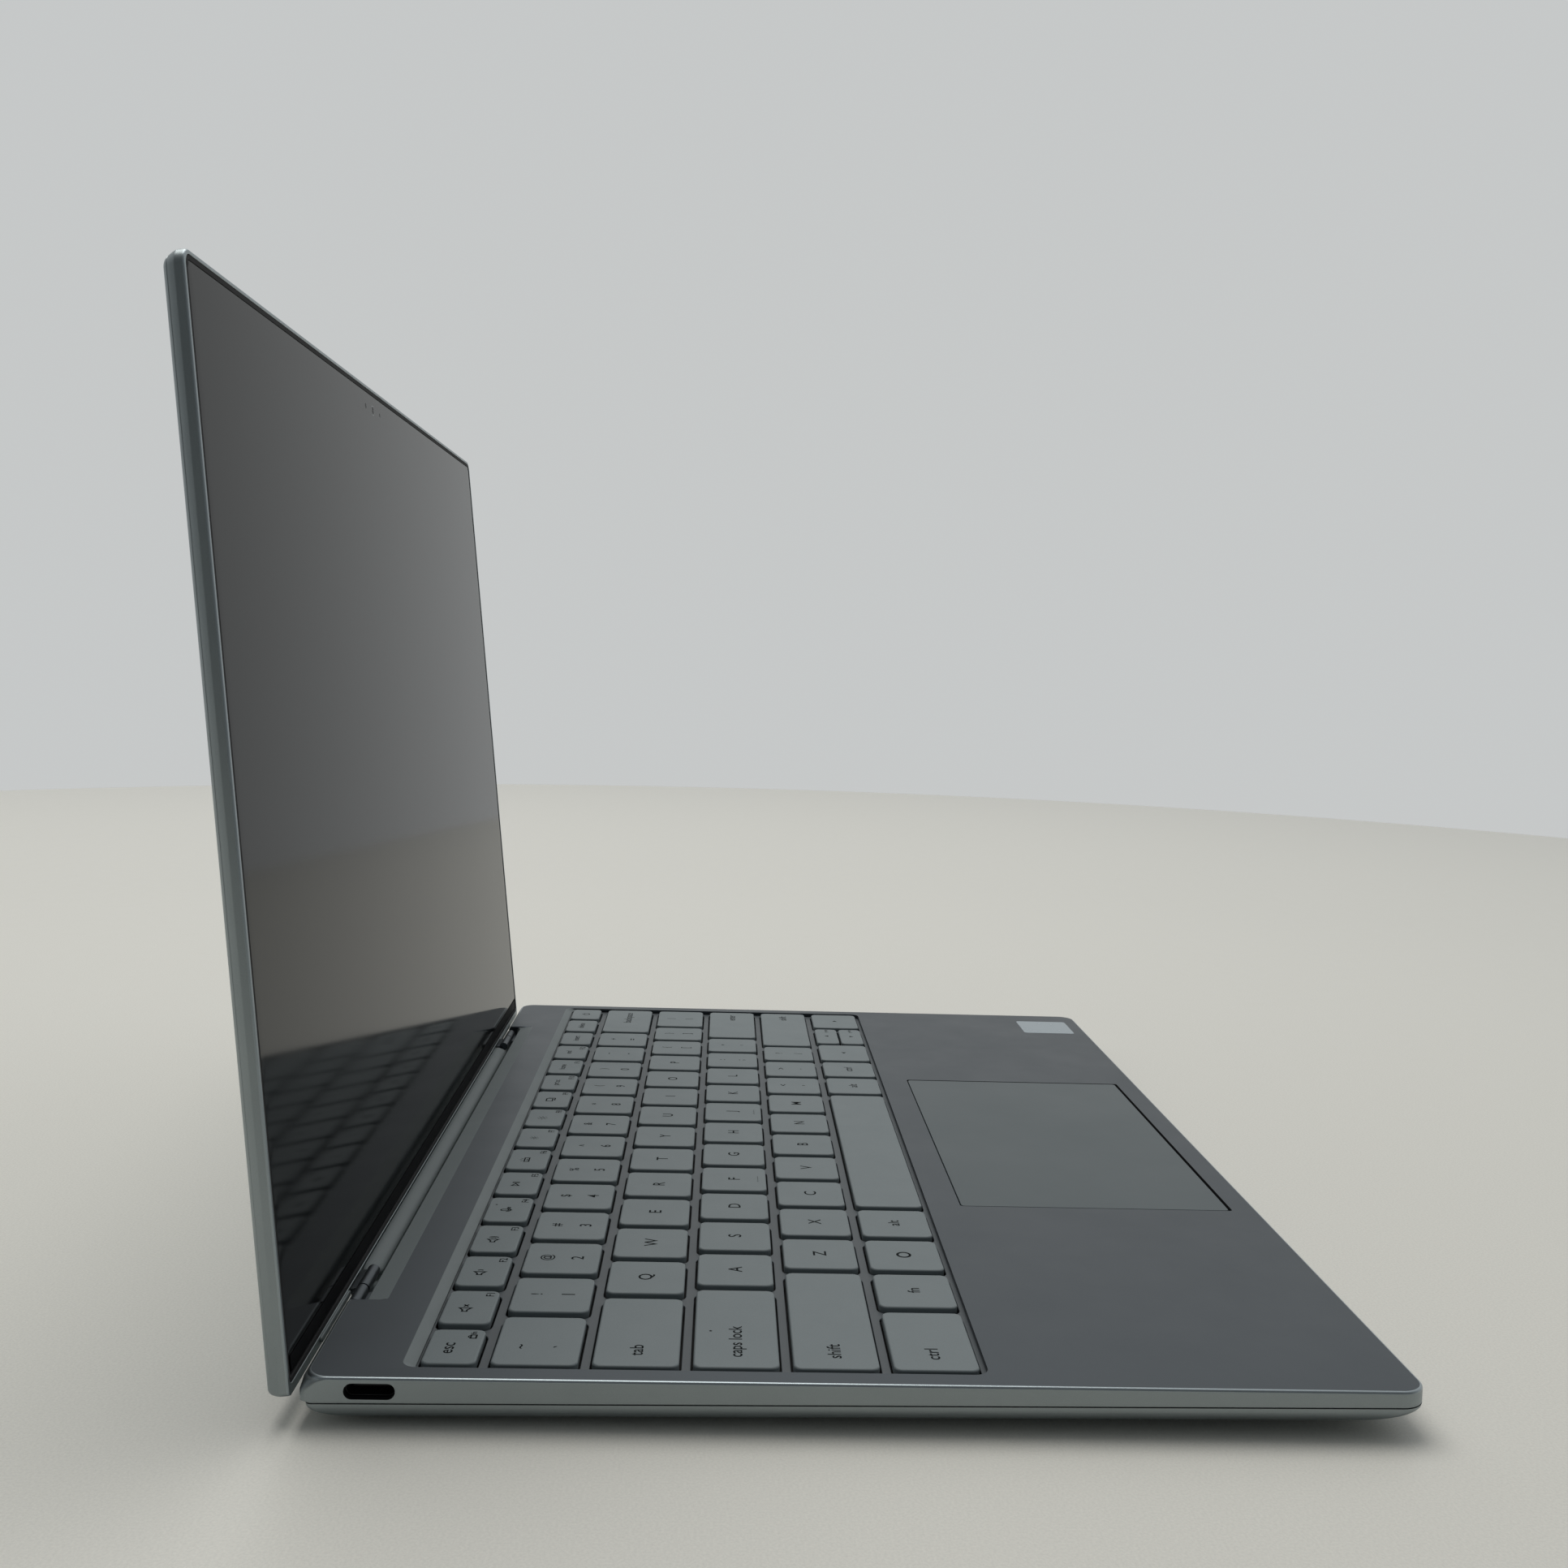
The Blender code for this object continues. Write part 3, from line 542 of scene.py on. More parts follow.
# Each key: width in units, name, legend, CAD node
LOWER, HOME, UPPER, DIGITS, TOP = ("lower_letter_keys", "home_letter_keys", "upper_letter_keys",
                                   "digit_keys", "function_keys")
ROWS = [
    [(1.45, "left_ctrl", "<ctrl", "left_ctrl_key"), (1, "fn", "fn", "fn_key"), (1, "menu", "@ring", "menu_key"),
     (1, "left_alt", "alt", "left_alt_key"), (5.05, "space", "", "space_bar"),
     (1, "right_alt", "alt", "right_alt_key"),
     (1, "right_ctrl", "ctrl", "right_ctrl_key"), (ARROW, "left", "@left", "left_arrow_key"),
     (ARROW, "", "", ""), (ARROW, "right", "@right", "right_arrow_key")],
    [(2.45, "left_shift", "<shift", "left_shift_key")]
    + [(1, "z", "Z", LOWER), (1, "x", "X", LOWER), (1, "c", "C", LOWER),
       (1, "v", "V", LOWER), (1, "b", "B", LOWER),
       (1, "n", "N", LOWER), (1, "m", "M", LOWER), (1, "comma", ",|<", LOWER), (1, "period", ".|>", LOWER),
       (1, "slash", "/|?", LOWER)]
    + [(2.55, "right_shift", ">shift", "right_shift_key")],
    [(1.95, "caps_lock", "<caps lock", "caps_lock_key")]
    + [(1, letter.lower(), letter, HOME) for letter in "ASDFGHJKL"]
    + [(1, "semicolon", ";|:", HOME), (1, "quote", "'|\"", HOME), (2.05, "enter", ">enter", "enter_key")],
    [(1.7, "tab", "<tab", "tab_key")]
    + [(1, letter.lower(), letter, UPPER) for letter in "QWERTYUIOP"]
    + [(1, "bracket_left", "[|{", UPPER), (1, "bracket_right", "]|}", UPPER),
       (1.3, "backslash", "\\||", "backslash_key")],
    [(1.2, "grave", "`|~", "grave_key")]
    + [(1, "digit_" + digit, digit + "|" + sign, DIGITS) for digit, sign in zip("1234567890", "!@#$%^&*()")]
    + [(1, "minus", "-|_", DIGITS), (1, "equals", "=|+", DIGITS),
       (1.8, "backspace", ">backspace", "backspace_key")],
    [(END, "esc", "@esc", "esc_key")]
    + [(FUNCTION, "f%d" % number, "@f%d" % number, TOP) for number in range(1, 13)]
    + [(FUNCTION, "insert", "@insert", TOP), (FUNCTION, "delete", "@delete", TOP),
       (END, "power", "@power", "power_key")],
]


def row_cells(row):
    front = KEYS_FRONT_Y + row * ROW_PITCH
    depth = FN_ROW_DEPTH if row == 5 else ROW_PITCH
    return [(x0, x1, front, front + depth) for x0, x1 in unit_row([key[0] for key in ROWS[row]])]


def cap_box(cell):
    x0, x1, y0, y1 = cell
    half = KEY_GAP / 2
    return x0 + half, x1 - half, y0 + half, y1 - half


def cap_rings(cap, corner=1.6):
    x0, x1, y0, y1 = cap
    profile = [(0.25, SKIRT_Z), (0.06, SKIRT_Z + 0.12), (0.0, SKIRT_Z + 0.3), (0.0, -0.42)]
    profile += [(inset, -drop) for inset, drop in reversed(rounded_edge(0.42, 5))][1:]
    return [level(rounded_rect(x0 + i, x1 - i, y0 + i, y1 - i, corner - i, 5), z) for i, z in profile]


INK = 0.006                     # print thickness above the cap, mm
LETTER = 4.05
WORD = 3.55
SMALL = 2.3
STROKE = 0.36                   # line width of the symbols


def letter_mesh(text, size, thin):
    """Flat faces of a line of text: ([(x, y)...], [faces])."""
    curve = bpy.data.curves.new("legend", 'FONT')
    curve.body = text
    curve.size = size
    curve.offset = -thin
    curve.resolution_u = 3
    writing = bpy.data.objects.new("legend", curve)
    bpy.context.collection.objects.link(writing)
    graph = bpy.context.evaluated_depsgraph_get()
    mesh = bpy.data.meshes.new_from_object(writing.evaluated_get(graph))
    points = [(vert.co.x, vert.co.y) for vert in mesh.vertices]
    faces = [tuple(face.vertices) for face in mesh.polygons]
    bpy.data.objects.remove(writing)
    bpy.data.curves.remove(curve)
    bpy.data.meshes.remove(mesh)
    return points, faces


def write(piece, text, x, y, size, align=0, thin=-0.035):
    """Print text with its middle (align 0), left (-1) or right (1) end at x, its capitals centred on y."""
    points, faces = letter_mesh(text, size, thin)
    left, right = min(p[0] for p in points), max(p[0] for p in points)
    low, high = min(p[1] for p in points), max(p[1] for p in points)
    across = {-1: left, 0: (left + right) / 2, 1: right}[align]
    up = (low + high) / 2 if len(text) == 1 else size * 0.30
    verts = [piece.bm.verts.new((x + px - across, y + py - up, INK)) for px, py in points]
    for face in faces:
        piece.flat([verts[i] for i in face])


def line(piece, points, x, y, width=STROKE):
    piece.ribbon([(x + px, y + py) for px, py in points], width, INK)


def ring(piece, x, y, radius, start=0, end=360, width=STROKE, steps=16):
    line(piece, arc(0, 0, radius, start, end, steps), x, y, width)


def blob(piece, outline, x, y):
    piece.flat([piece.bm.verts.new((x + px, y + py, INK)) for px, py in outline])


def speaker_icon(piece, x, y):
    line(piece, [(-1.7, -0.45), (-1.7, 0.45), (-1.0, 0.45), (-0.1, 1.15), (-0.1, -1.15),
                 (-1.0, -0.45), (-1.7, -0.45)], x, y)


def cross_icon(piece, x, y, half=0.45):
    line(piece, [(-half, -half), (half, half)], x, y)
    line(piece, [(-half, half), (half, -half)], x, y)


def sun_icon(piece, x, y, size):
    ring(piece, x, y, 0.42 * size, width=0.2, steps=10)
    for i in range(8):
        angle = math.radians(45 * i)
        line(piece, [(0.75 * size * math.cos(angle), 0.75 * size * math.sin(angle)),
                     (1.15 * size * math.cos(angle), 1.15 * size * math.sin(angle))], x, y, 0.2)


def function_icon(piece, number, x, y):
    if number == 1:
        speaker_icon(piece, x, y)
        cross_icon(piece, x + 1.0, y)
    elif number in (2, 3):
        speaker_icon(piece, x, y)
        for wave in range(number - 1):
            ring(piece, x + 0.1, y, 0.75 + 0.6 * wave, -48, 48, steps=6)
    elif number == 4:
        line(piece, arc(0, 0.45, 0.5, 0, 180, 6) + [(-0.5, -0.3)]
             + arc(0, -0.3, 0.5, 180, 360, 6)[1:] + [(0.5, 0.45)], x, y)
        ring(piece, x, y - 0.3, 0.95, 180, 360, steps=8)
        line(piece, [(0, -1.25), (0, -1.6)], x, y)
        cross_icon(piece, x + 1.5, y - 0.7, 0.35)
        blob(piece, circle(0, 0, 0.26, 12), x + 3.4, y + 2.4)
    elif number == 5:
        line(piece, [(-1.4, 0.85), (-1.4, -0.85), (0.0, 0.0), (-1.4, 0.85)], x, y)
        line(piece, [(0.5, 0.85), (0.5, -0.85)], x, y)
        line(piece, [(1.1, 0.85), (1.1, -0.85)], x, y)
    elif number == 6:
        line(piece, [(-1.5, -0.9), (1.5, -0.9), (1.5, 0.2), (-1.5, 0.2), (-1.5, -0.9)], x, y)
        for angle in (50, 90, 130):
            c, s = math.cos(math.radians(angle)), math.sin(math.radians(angle))
            line(piece, [(1.0 * c, 0.1 + 0.7 * s), (1.6 * c, 0.1 + 1.3 * s)], x, y, 0.2)
        line(piece, [(-0.8, -0.4), (0.8, -0.4)], x, y, 0.2)
    elif number in (7, 8):
        sun_icon(piece, x, y, 1.0 if number == 7 else 1.25)
    elif number == 9:
        line(piece, [(-1.6, -0.8), (-1.6, 0.9), (0.9, 0.9), (0.9, -0.8), (-1.6, -0.8)], x, y)
        line(piece, [(1.5, 0.6), (1.5, -1.4), (-0.8, -1.4)], x, y)
    else:
        write(piece, {10: "prt sc", 11: "home", 12: "end"}[number], x, y, 2.5)


def legend(piece, cap, text):
    x0, x1, y0, y1 = cap
    x, y = (x0 + x1) / 2, (y0 + y1) / 2
    if text.startswith("<"):
        write(piece, text[1:], x0 + 4.3, y, WORD, -1)
    elif text.startswith(">"):
        write(piece, text[1:], x1 - 4.3, y, WORD, 1)
    elif text in ("alt", "ctrl", "fn"):
        write(piece, text, x, y, WORD)
    elif text == "@ring":
        ring(piece, x, y, 1.35, width=0.55, steps=28)
    elif text == "@esc":
        write(piece, "esc", x - 0.9, y + 1.0, WORD)
        line(piece, [(-0.7, -0.7), (0.7, -0.7), (0.7, 0.3), (-0.7, 0.3), (-0.7, -0.7)],
             x1 - 3.2, y0 + 2.2, 0.35)
        ring(piece, x1 - 3.2, y0 + 2.5, 0.45, 0, 180, 0.25, 8)
        write(piece, "fn", x1 - 1.6, y0 + 2.1, 1.5)
    elif text.startswith("@f"):
        number = int(text[2:])
        function_icon(piece, number, x - 0.6, y + 0.7)
        write(piece, "F%d" % number, x1 - 1.1, y0 + 1.7, SMALL, 1)
    elif text == "@power":
        ring(piece, x, y, 1.1, -240, 60, steps=18)
        line(piece, [(0, 0.4), (0, 1.5)], x, y)
    elif text in ("@insert", "@delete"):
        write(piece, text[1:], x, y, 2.7)
    elif text in ("@left", "@right", "@up", "@down"):
        angle = {"@right": 0, "@up": 90, "@left": 180, "@down": 270}[text]
        blob(piece, arc(0, 0, 0.95, angle, angle + 360, 3)[:-1], x, y)
        if text in ("@up", "@down"):
            write(piece, {"@up": "pg up", "@down": "pg dn"}[text], x1 - 0.9, y, 1.6, 1)
    elif "|" in text and len(text) == 3:
        if text[0] in "`":
            x = x0 + (x1 - x0) * 0.36
        write(piece, text[0], x, y - 3.1, LETTER * 0.92)
        write(piece, text[2], x, y + 3.1, LETTER * 0.80)
    elif text:
        write(piece, text, x, y, LETTER)


def key_cap(name, cap, text, node):
    piece = Piece(KEYCAP, LEGEND)
    piece.column(cap_rings(cap))
    x0, x1, y0, y1 = cap
    stem = [level(rounded_rect(x0 + 3, x1 - 3, y0 + 2.4, y1 - 2.4, 0.8, 2), z)
            for z in (STEM_Z, SKIRT_Z + 0.02)]
    piece.column(stem)
    piece.paint = 1
    if text:
        legend(piece, cap, text)
    if text == "<caps lock":
        blob(piece, circle(0, 0, 0.28, 12), x0 + 15.2, y1 - 3.0)
    if text in ("F", "J"):
        piece.paint = 0
        middle = (x0 + x1) / 2
        piece.column([level(rounded_rect(middle - 2 + i, middle + 2 - i, y0 + 1.7 + i, y0 + 2.3 - i,
                                         0.28 - i / 2, 3), z)
                      for z, i in ((-0.05, 0.0), (0.02, 0.0), (0.045, 0.12))])
    piece.finish("keycap_" + name, node, [node])


def keyboard():
    for row, keys in enumerate(ROWS):
        for key, cell in zip(keys, row_cells(row)):
            _, name, text, node = key
            cap = cap_box(cell)
            if name:
                key_cap(name, cap, text, node)
                continue
            x0, x1, y0, y1 = cap
            middle = (y0 + y1) / 2
            key_cap("down", (x0, x1, y0, middle - 0.35), "@down", "down_arrow_key")
            key_cap("up", (x0, x1, middle + 0.35, y1), "@up", "up_arrow_key")
    tray = Piece(TRAY)
    outline = rounded_rect(-144.6, 144.6, 76.8, 181.8, 1.0, 2)
    low, high = tray.stack([level(outline, TRAY_Z - 0.4), level(outline, TRAY_Z)])
    low_holes, high_holes = [], []
    for row in range(6):
        for cell in row_cells(row):
            x0, x1, y0, y1 = cap_box(cell)
            window = [level(rounded_rect(x0 - g, x1 + g, y0 - g, y1 + g, 1.9, 4), z)
                      for g, z in ((0.42, TRAY_Z - 0.4), (0.42, TRAY_Z - 0.08), (0.5, TRAY_Z))]
            lower, upper = tray.stack(window)
            low_holes.append(lower)
            high_holes.append(upper)
    tray.fill(low, low_holes)
    tray.fill(high, high_holes)
    tray.finish("keyboard_lattice", "base", ["keyboard_tray"])


def touchpad():
    pad = Piece(TOUCHPAD)
    profile = [(0.1, -1.0), (0.0, -0.9), (0.0, -0.22), (0.03, -0.12), (0.1, -0.05)]
    pad.column([level(rounded_rect(-PAD_X + i, PAD_X - i, PAD_FRONT_Y + i, PAD_REAR_Y - i, 0.9, 4), z)
                for i, z in profile])
    pad.finish("touchpad_plate", "touchpad", ["touchpad"])


# Base: bottom cover, feet, screws, ports ----------------------------------------------------
SCREWS = {"front_left": (-132, 24), "front_middle": (0, 24), "front_right": (132, 24),
          "rear_left": (-132, 182), "rear_middle": (0, 182), "rear_right": (132, 182)}
VENT_COLUMNS, VENT_PITCH, VENT_Y = 36, 5.2, 146.0
GRILLE_X = 128.0
COVER_T = 0.9
SEAM_GAP = 0.14


def shifted(outline, x, y):
    return [(x + px, y + py) for px, py in outline]


def vent_slots():
    tall = [(-y, x) for x, y in stadium(18.0, 2.2, 5)]
    start = -VENT_PITCH * (VENT_COLUMNS - 1) / 2
    for column in range(VENT_COLUMNS):
        yield shifted(tall, start + column * VENT_PITCH, VENT_Y)
    wide = stadium(16.0, 1.6, 5)
    for side in (-1, 1):
        for row in range(4):
            yield shifted(wide, side * GRILLE_X, 48.0 + row * 4.0)


def bottom_cover():
    cover = Piece(SHELL, STEEL)

    def rim_z(y):
        return seam_z(y) - SEAM_GAP

    rings = []
    for step in range(13):
        angle = math.radians(90.0 * step / 12)
        reach = 1 - math.sin(angle)

        def outer_z(y, share=math.cos(angle)):
            return rim_z(y) + (under_z(y) - rim_z(y)) * share
        rings.append(level(base_outline(4.0 * reach, 198.1 - 8.1 * reach, front=16.0 * reach,
                                        rear_r=REAR_R + 5 * reach, front_r=CORNER_R), outer_z))
    rings.append(level(base_outline(WALL, 195.9), rim_z))
    rings.append(level(base_outline(2.8, 192.5, front=8.5, rear_r=2.5, front_r=4.0),
                       lambda y: rim_z(y) * 0.4 + under_z(y) * 0.6 + COVER_T))
    rings.append(level(base_outline(5.2, 188.5, front=18.0, rear_r=4.0, front_r=4.0),
                       lambda y: under_z(y) + COVER_T))
    outer, inner = cover.stack(rings)
    outer_holes, inner_holes = [], []
    for slot in vent_slots():
        low, high = cover.stack([level(slot, under_z), level(slot, lambda y: under_z(y) + COVER_T)])
        outer_holes.append(low)
        inner_holes.append(high)
    for x, y in SCREWS.values():
        recess = [level(circle(x, y, 2.5), under_z), level(circle(x, y, 2.3), lambda y: under_z(y) + 0.15),
                  level(circle(x, y, 2.3), under_z(y) + 0.5), level(circle(x, y, 1.2), under_z(y) + 0.5),
                  level(circle(x, y, 1.2), lambda y: under_z(y) + COVER_T)]
        low, high = cover.stack(recess)
        outer_holes.append(low)
        inner_holes.append(high)
    cover.fill(outer, outer_holes)
    cover.fill(inner, inner_holes)
    cover.finish("lower_cover", "base", ["bottom_cover"])


def star(x, y, radius, z):
    """Six-lobed socket outline."""
    points = []
    for i in range(48):
        angle = 2 * math.pi * i / 48
        reach = radius * (1 + 0.14 * math.cos(6 * angle))
        points.append((x + reach * math.cos(angle), y + reach * math.sin(angle), z))
    return points


def screws():
    for label, (x, y) in SCREWS.items():
        base = under_z(y)
        screw = Piece(STEEL)
        top, tip = screw.stack([level(circle(x, y, radius, 48), base + z) for radius, z in (
            (1.62, 0.03), (1.85, 0.07), (2.0, 0.18), (2.0, 0.35), (0.9, 0.36), (0.9, 1.5))])
        screw.fill(tip)
        rim, pit = screw.stack([star(x, y, radius, base + z) for radius, z in (
            (0.95, 0.03), (0.9, 0.1), (0.9, 0.45))])
        screw.fill(pit)
        screw.bridge(top, rim)
        screw.finish("torx_screw_" + label, "base", ["screw_" + label])


def foot(name, y, half_x, half_y):
    pad = Piece(RUBBER)

    def outline(inset):
        return shifted(stadium(2 * (half_x - inset), 2 * (half_y - inset), 16), 0, y)

    rings = [level(outline(inset), FLOOR_Z + rise) for inset, rise in
             ((0.62, 0.0), (0.34, 0.05), (0.12, 0.2), (0.0, 0.5))]
    rings.append(level(outline(0.0), lambda at: under_z(at) - 0.02))
    pad.column(rings)
    pad.finish("rubber_" + name, "base", [name])


def ports():
    for label, side in (("left", -1), ("right", 1)):
        mouth = side * (HALF_WIDTH - WALL - FIT)
        back = mouth - side * 7.3
        cup = Piece(STEEL, BLACK)

        def ring(shrink, x):
            return sideways(stadium(PORT_LENGTH - shrink, PORT_HEIGHT - shrink, 14), x, PORT_Y, PORT_Z)

        floor, rear = cup.stack([ring(0.5, back + side * 0.6), ring(0.5, mouth - side * 0.12), ring(0.34, mouth),
                                 ring(0.12, mouth), ring(0.0, mouth - side * 0.08), ring(0.0, back)])
        cup.fill(rear)
        # The socket's inner end wall is black as painted shade; the tongue is black plastic.
        cup.paint = 1
        cup.fill(floor)
        tip = mouth - side * 1.3
        tongue = [(back + side * 0.7, 0.0), (tip - side * 0.15, 0.0), (tip, 0.12)]
        cup.column([sideways(rounded_rect(-3.35 + i, 3.35 - i, -0.36 + i, 0.36 - i, 0.2, 3), x, PORT_Y, PORT_Z)
                    for x, i in tongue])
        cup.paint = 0
        for contact in range(CONTACTS):
            y = (contact - (CONTACTS - 1) / 2) * CONTACT_PITCH
            for up in (-1, 1):
                z0, z1 = sorted((up * 0.34, up * 0.4))
                outline = [(y - 0.12, z0), (y + 0.12, z0), (y + 0.12, z1), (y - 0.12, z1)]
                cup.column([sideways(outline, x, PORT_Y, PORT_Z) for x in (tip - side * 2.6, tip - side * 0.35)])
        cup.finish("usb_c_receptacle_" + label, "base", ["usb_c_port_" + label])


# Lid ----------------------------------------------------------------------------------------
def lid_outline(inset):
    return rounded_rect(-HALF_WIDTH + inset, HALF_WIDTH - inset, LID_FRONT_Y + inset,
                        LID_REAR_Y - 0.3 * inset, max(LID_FRONT_R - inset, 1.0), 14, max(LID_REAR_R - inset, 0.6))


def pocket_outline(inset, rear_y=POCKET_REAR_Y):
    edge = POCKET_INSET + inset
    return rounded_rect(-HALF_WIDTH + edge, HALF_WIDTH - edge, LID_FRONT_Y + edge,
                        rear_y - inset, max(LID_FRONT_R - edge, 0.5), 14, max(1.6 - inset, 0.4))


def lid():
    shell = Piece(SHELL, EDGE_HIGHLIGHT)
    rings = [level(lid_outline(inset), LID_OUT_Z - drop) for inset, drop in
             ((2.6, 0.0), (2.25, 0.03), (1.9, 0.13), (1.55, 0.32), (1.2, 0.62),
              (0.8, 1.15), (0.4, 1.78), (0.09, 2.4), (0.02, 2.55), (0.0, 2.72))]
    back, side = shell.stack(rings)
    # The rim round the lid face takes the painted highlight.
    shell.paint = 1
    low, face = shell.stack([level(lid_outline(inset), LID_IN_Z + rise) for inset, rise in
                             ((0.0, 0.4), (0.05, 0.26), (0.24, 0.05), (0.34, 0.0))])
    shell.paint = 0
    shell.bridge(side, low)
    mouth, floor = shell.stack([level(pocket_outline(-0.08), LID_IN_Z), level(pocket_outline(0.0), LID_IN_Z + 0.08),
                                level(pocket_outline(0.0), LID_OUT_Z - 0.9)])
    shell.fill(back)
    shell.fill(floor)
    shell.fill(face, [mouth])
    shell.finish("lid_case", "lid", ["lid_shell"], LID_TURN)

    gasket = Piece(RUBBER)
    first, last = gasket.stack([level(pocket_outline(inset), LID_IN_Z + rise) for inset, rise in (
        (0.03, 0.16), (0.03, 1.0), (1.0, 1.0), (1.0, 0.2), (0.9, 0.12), (0.15, 0.1))])
    gasket.bridge(last, first)
    gasket.finish("screen_gasket", "lid", ["display_gasket"], LID_TURN)

    glass = Piece(SCREEN, BEZEL)
    face_z = LID_IN_Z + 0.15
    glass.paint = 1
    edge = GLASS_INSET - 0.05
    front, rear = glass.stack([level(pocket_outline(edge + i, GLASS_REAR_Y + edge), face_z + rise) for i, rise in (
        (0.2, 0.0), (0.09, 0.03), (0.02, 0.1), (0.0, 0.2), (0.0, 0.7))])
    glass.fill(rear)
    panel = glass.loop(level(rounded_rect(-143.2, 143.2, 9.2, GLASS_REAR_Y - 2.6, 0.4, 2), face_z))
    glass.fill(front, [panel])
    glass.paint = 0
    glass.fill(panel)
    glass.finish("screen_glass", "lid", ["display_glass"], LID_TURN)

    chin = Piece(CHIN)
    chin.column([level(rounded_rect(-CHIN_X + i, CHIN_X - i, GLASS_REAR_Y + FIT + i,
                                    POCKET_REAR_Y - 1.4 - i, 0.5, 3), face_z + rise)
                 for rise, i in ((0.0, 0.15), (0.05, 0.04), (0.15, 0.0), (0.95, 0.0))])
    chin.finish("chin_strip", "lid", ["display_chin"], LID_TURN)
    camera_window()


CAMERA_X, CAMERA_Y = -6.0, 6.4


def camera_window():
    """The camera's printed window, lens and activity light, in the upper bezel."""
    window = Piece(BEZEL, BLACK, BRIGHT)
    z = LID_IN_Z + 0.146
    window.flat([window.bm.verts.new((CAMERA_X + px, CAMERA_Y + py, z))
                 for px, py in stadium(40, 3.0, 10)], -1)
    window.paint = 1
    for x, radius in ((0.0, 1.15), (-8.0, 0.7), (8.0, 0.55)):
        window.flat([window.bm.verts.new((CAMERA_X + px, CAMERA_Y + py, z - 0.002))
                     for px, py in circle(x, 0, radius, 28)], -1)
    window.paint = 2
    window.ribbon([(CAMERA_X + px, CAMERA_Y + py) for px, py in circle(0, 0, 1.2, 28) + [(1.2, 0.0)]], 0.09,
                  z - 0.004, -1)
    window.finish("camera_print", "lid", (), LID_TURN)


# Hinge --------------------------------------------------------------------------------------
LIP = [(LID_REAR_Y, LID_IN_Z - FIT), (197.72, LID_IN_Z - FIT), (197.6, 0.15), (197.55, -0.4), (197.62, -0.95),
       (197.8, -1.5), (198.0, -2.0), (198.25, -2.45), (198.5, -2.8), (198.78, -3.08), (199.1, -3.3),
       (LID_REAR_Y, -3.3)]


def hinge_cover():
    """The lip under the lid's rear edge. Its ends are rounded towards the lid."""
    # The lip takes the lighter grey, partly a painted highlight.
    lip = Piece(RAMP)
    rings = []
    ends = 8
    for side in (-1, 1):
        for step in range(ends + 1):
            angle = math.radians(90.0 * (step if side < 0 else ends - step) / ends)
            deep = 0.25 + 0.75 * math.sin(angle)
            x = side * (HINGE_COVER_X - 3.0 * (1 - math.cos(angle)))
            rings.append([(x, LID_REAR_Y - (LID_REAR_Y - y) * deep, LID_IN_Z - FIT + (z - LID_IN_Z + FIT) * deep)
                          for y, z in LIP])
    lip.column(rings)
    lip.finish("hinge_lip", "lid", ["hinge_cover"], LID_TURN, 40)


def wheel(piece, x0, x1, radius, soft=0.18):
    rings = []
    for x, inset in ((x0, soft), (x0 + soft * 0.3, soft * 0.3), (x0 + soft, 0.0), (x1 - soft, 0.0),
                     (x1 - soft * 0.3, soft * 0.3), (x1, soft)):
        rings.append([(x, y, z) for y, z in circle(HINGE_Y, HINGE_Z, radius - inset, 40)])
    piece.column(rings)


WING_FRONT_Y = 197.7
WING_REAR_Y = 198.8             # short of the lid's rear face, so that it clears the base at full swing


def hinges():
    for label, side in (("left", -1), ("right", 1)):
        x0, x1 = sorted((side * (HINGE_COVER_X + FIT), side * 104.2))
        # The knuckles take the darkened deck aluminium: painted shade.
        arm = Piece(SHADED_DECK)
        wheel(arm, x0, x1, KNUCKLE_R)
        arm.box(x0, x1, HINGE_Y - 0.4, LID_REAR_Y, HINGE_Z + 0.3, LID_IN_Z - FIT, 0.12)
        arm.finish("lid_knuckle_" + label, "lid", ["hinge_arm_" + label], LID_TURN)
        x0, x1 = sorted((side * 104.6, side * 112.0))
        knuckle = Piece(SHADED_DECK)
        wheel(knuckle, x0, x1, KNUCKLE_R)
        knuckle.box(x0, x1, SLOT_Y + FIT, HINGE_Y, HINGE_Z - 1.2, HINGE_Z - 0.4, 0.12)
        knuckle.finish("base_knuckle_" + label, "base", ["hinge_bracket_" + label])
        x0, x1 = sorted((side * 104.5, side * 127.0))
        # The wing takes the lighter grey, partly a painted highlight.
        wing = Piece(RAMP)
        wing.column([level(rounded_rect(x0 + i, x1 - i, WING_FRONT_Y + i, WING_REAR_Y - i / 2, 0.6 - i, 5), z)
                     for z, i in ((LID_IN_Z - 0.05, 0.0), (0.32, 0.0), (0.24, 0.05), (0.18, 0.16), (0.15, 0.3))])
        wing.finish("hinge_wing_" + label, "lid", (), LID_TURN)


# Parts that keep their CAD shape ------------------------------------------------------------
def inner_parts():
    finishes = {
        # The keyboard base plate is black: the membrane's dark colour, also painted shade in the slits between the
        # keys.
        "keyboard_base_plate": BLACK, "touchpad_bracket": BRIGHT, "fan_housing": BLACK, "fan_impeller": FAN,
        "mainboard": BOARD, "battery_pack": BATTERY, "speaker_left": BLACK, "speaker_right": BLACK,
        "heat_pipe": COPPER, "display_panel": PANEL, "camera_module": BOARD,
    }
    for name, material in finishes.items():
        mesh = frame["nodes"][name].data
        mesh.materials.clear()
        mesh.materials.append(material)


# Stage --------------------------------------------------------------------------------------
def floor():
    top = Piece(TABLE)
    radius, edge = 1020.0, 4.0
    centre = (HALF_WIDTH + 90.0, 100.0)
    top.column([level(circle(*centre, radius - inset, 128), FLOOR_Z - drop) for inset, drop in
                ((edge, 0.0), (edge * 0.3, edge * 0.3), (0.0, edge), (0.0, 26.0), (edge, 30.0))])
    made = top.make("table_top")
    made.data.shade_smooth()
    made.data.set_sharp_from_angle(angle=math.radians(40))


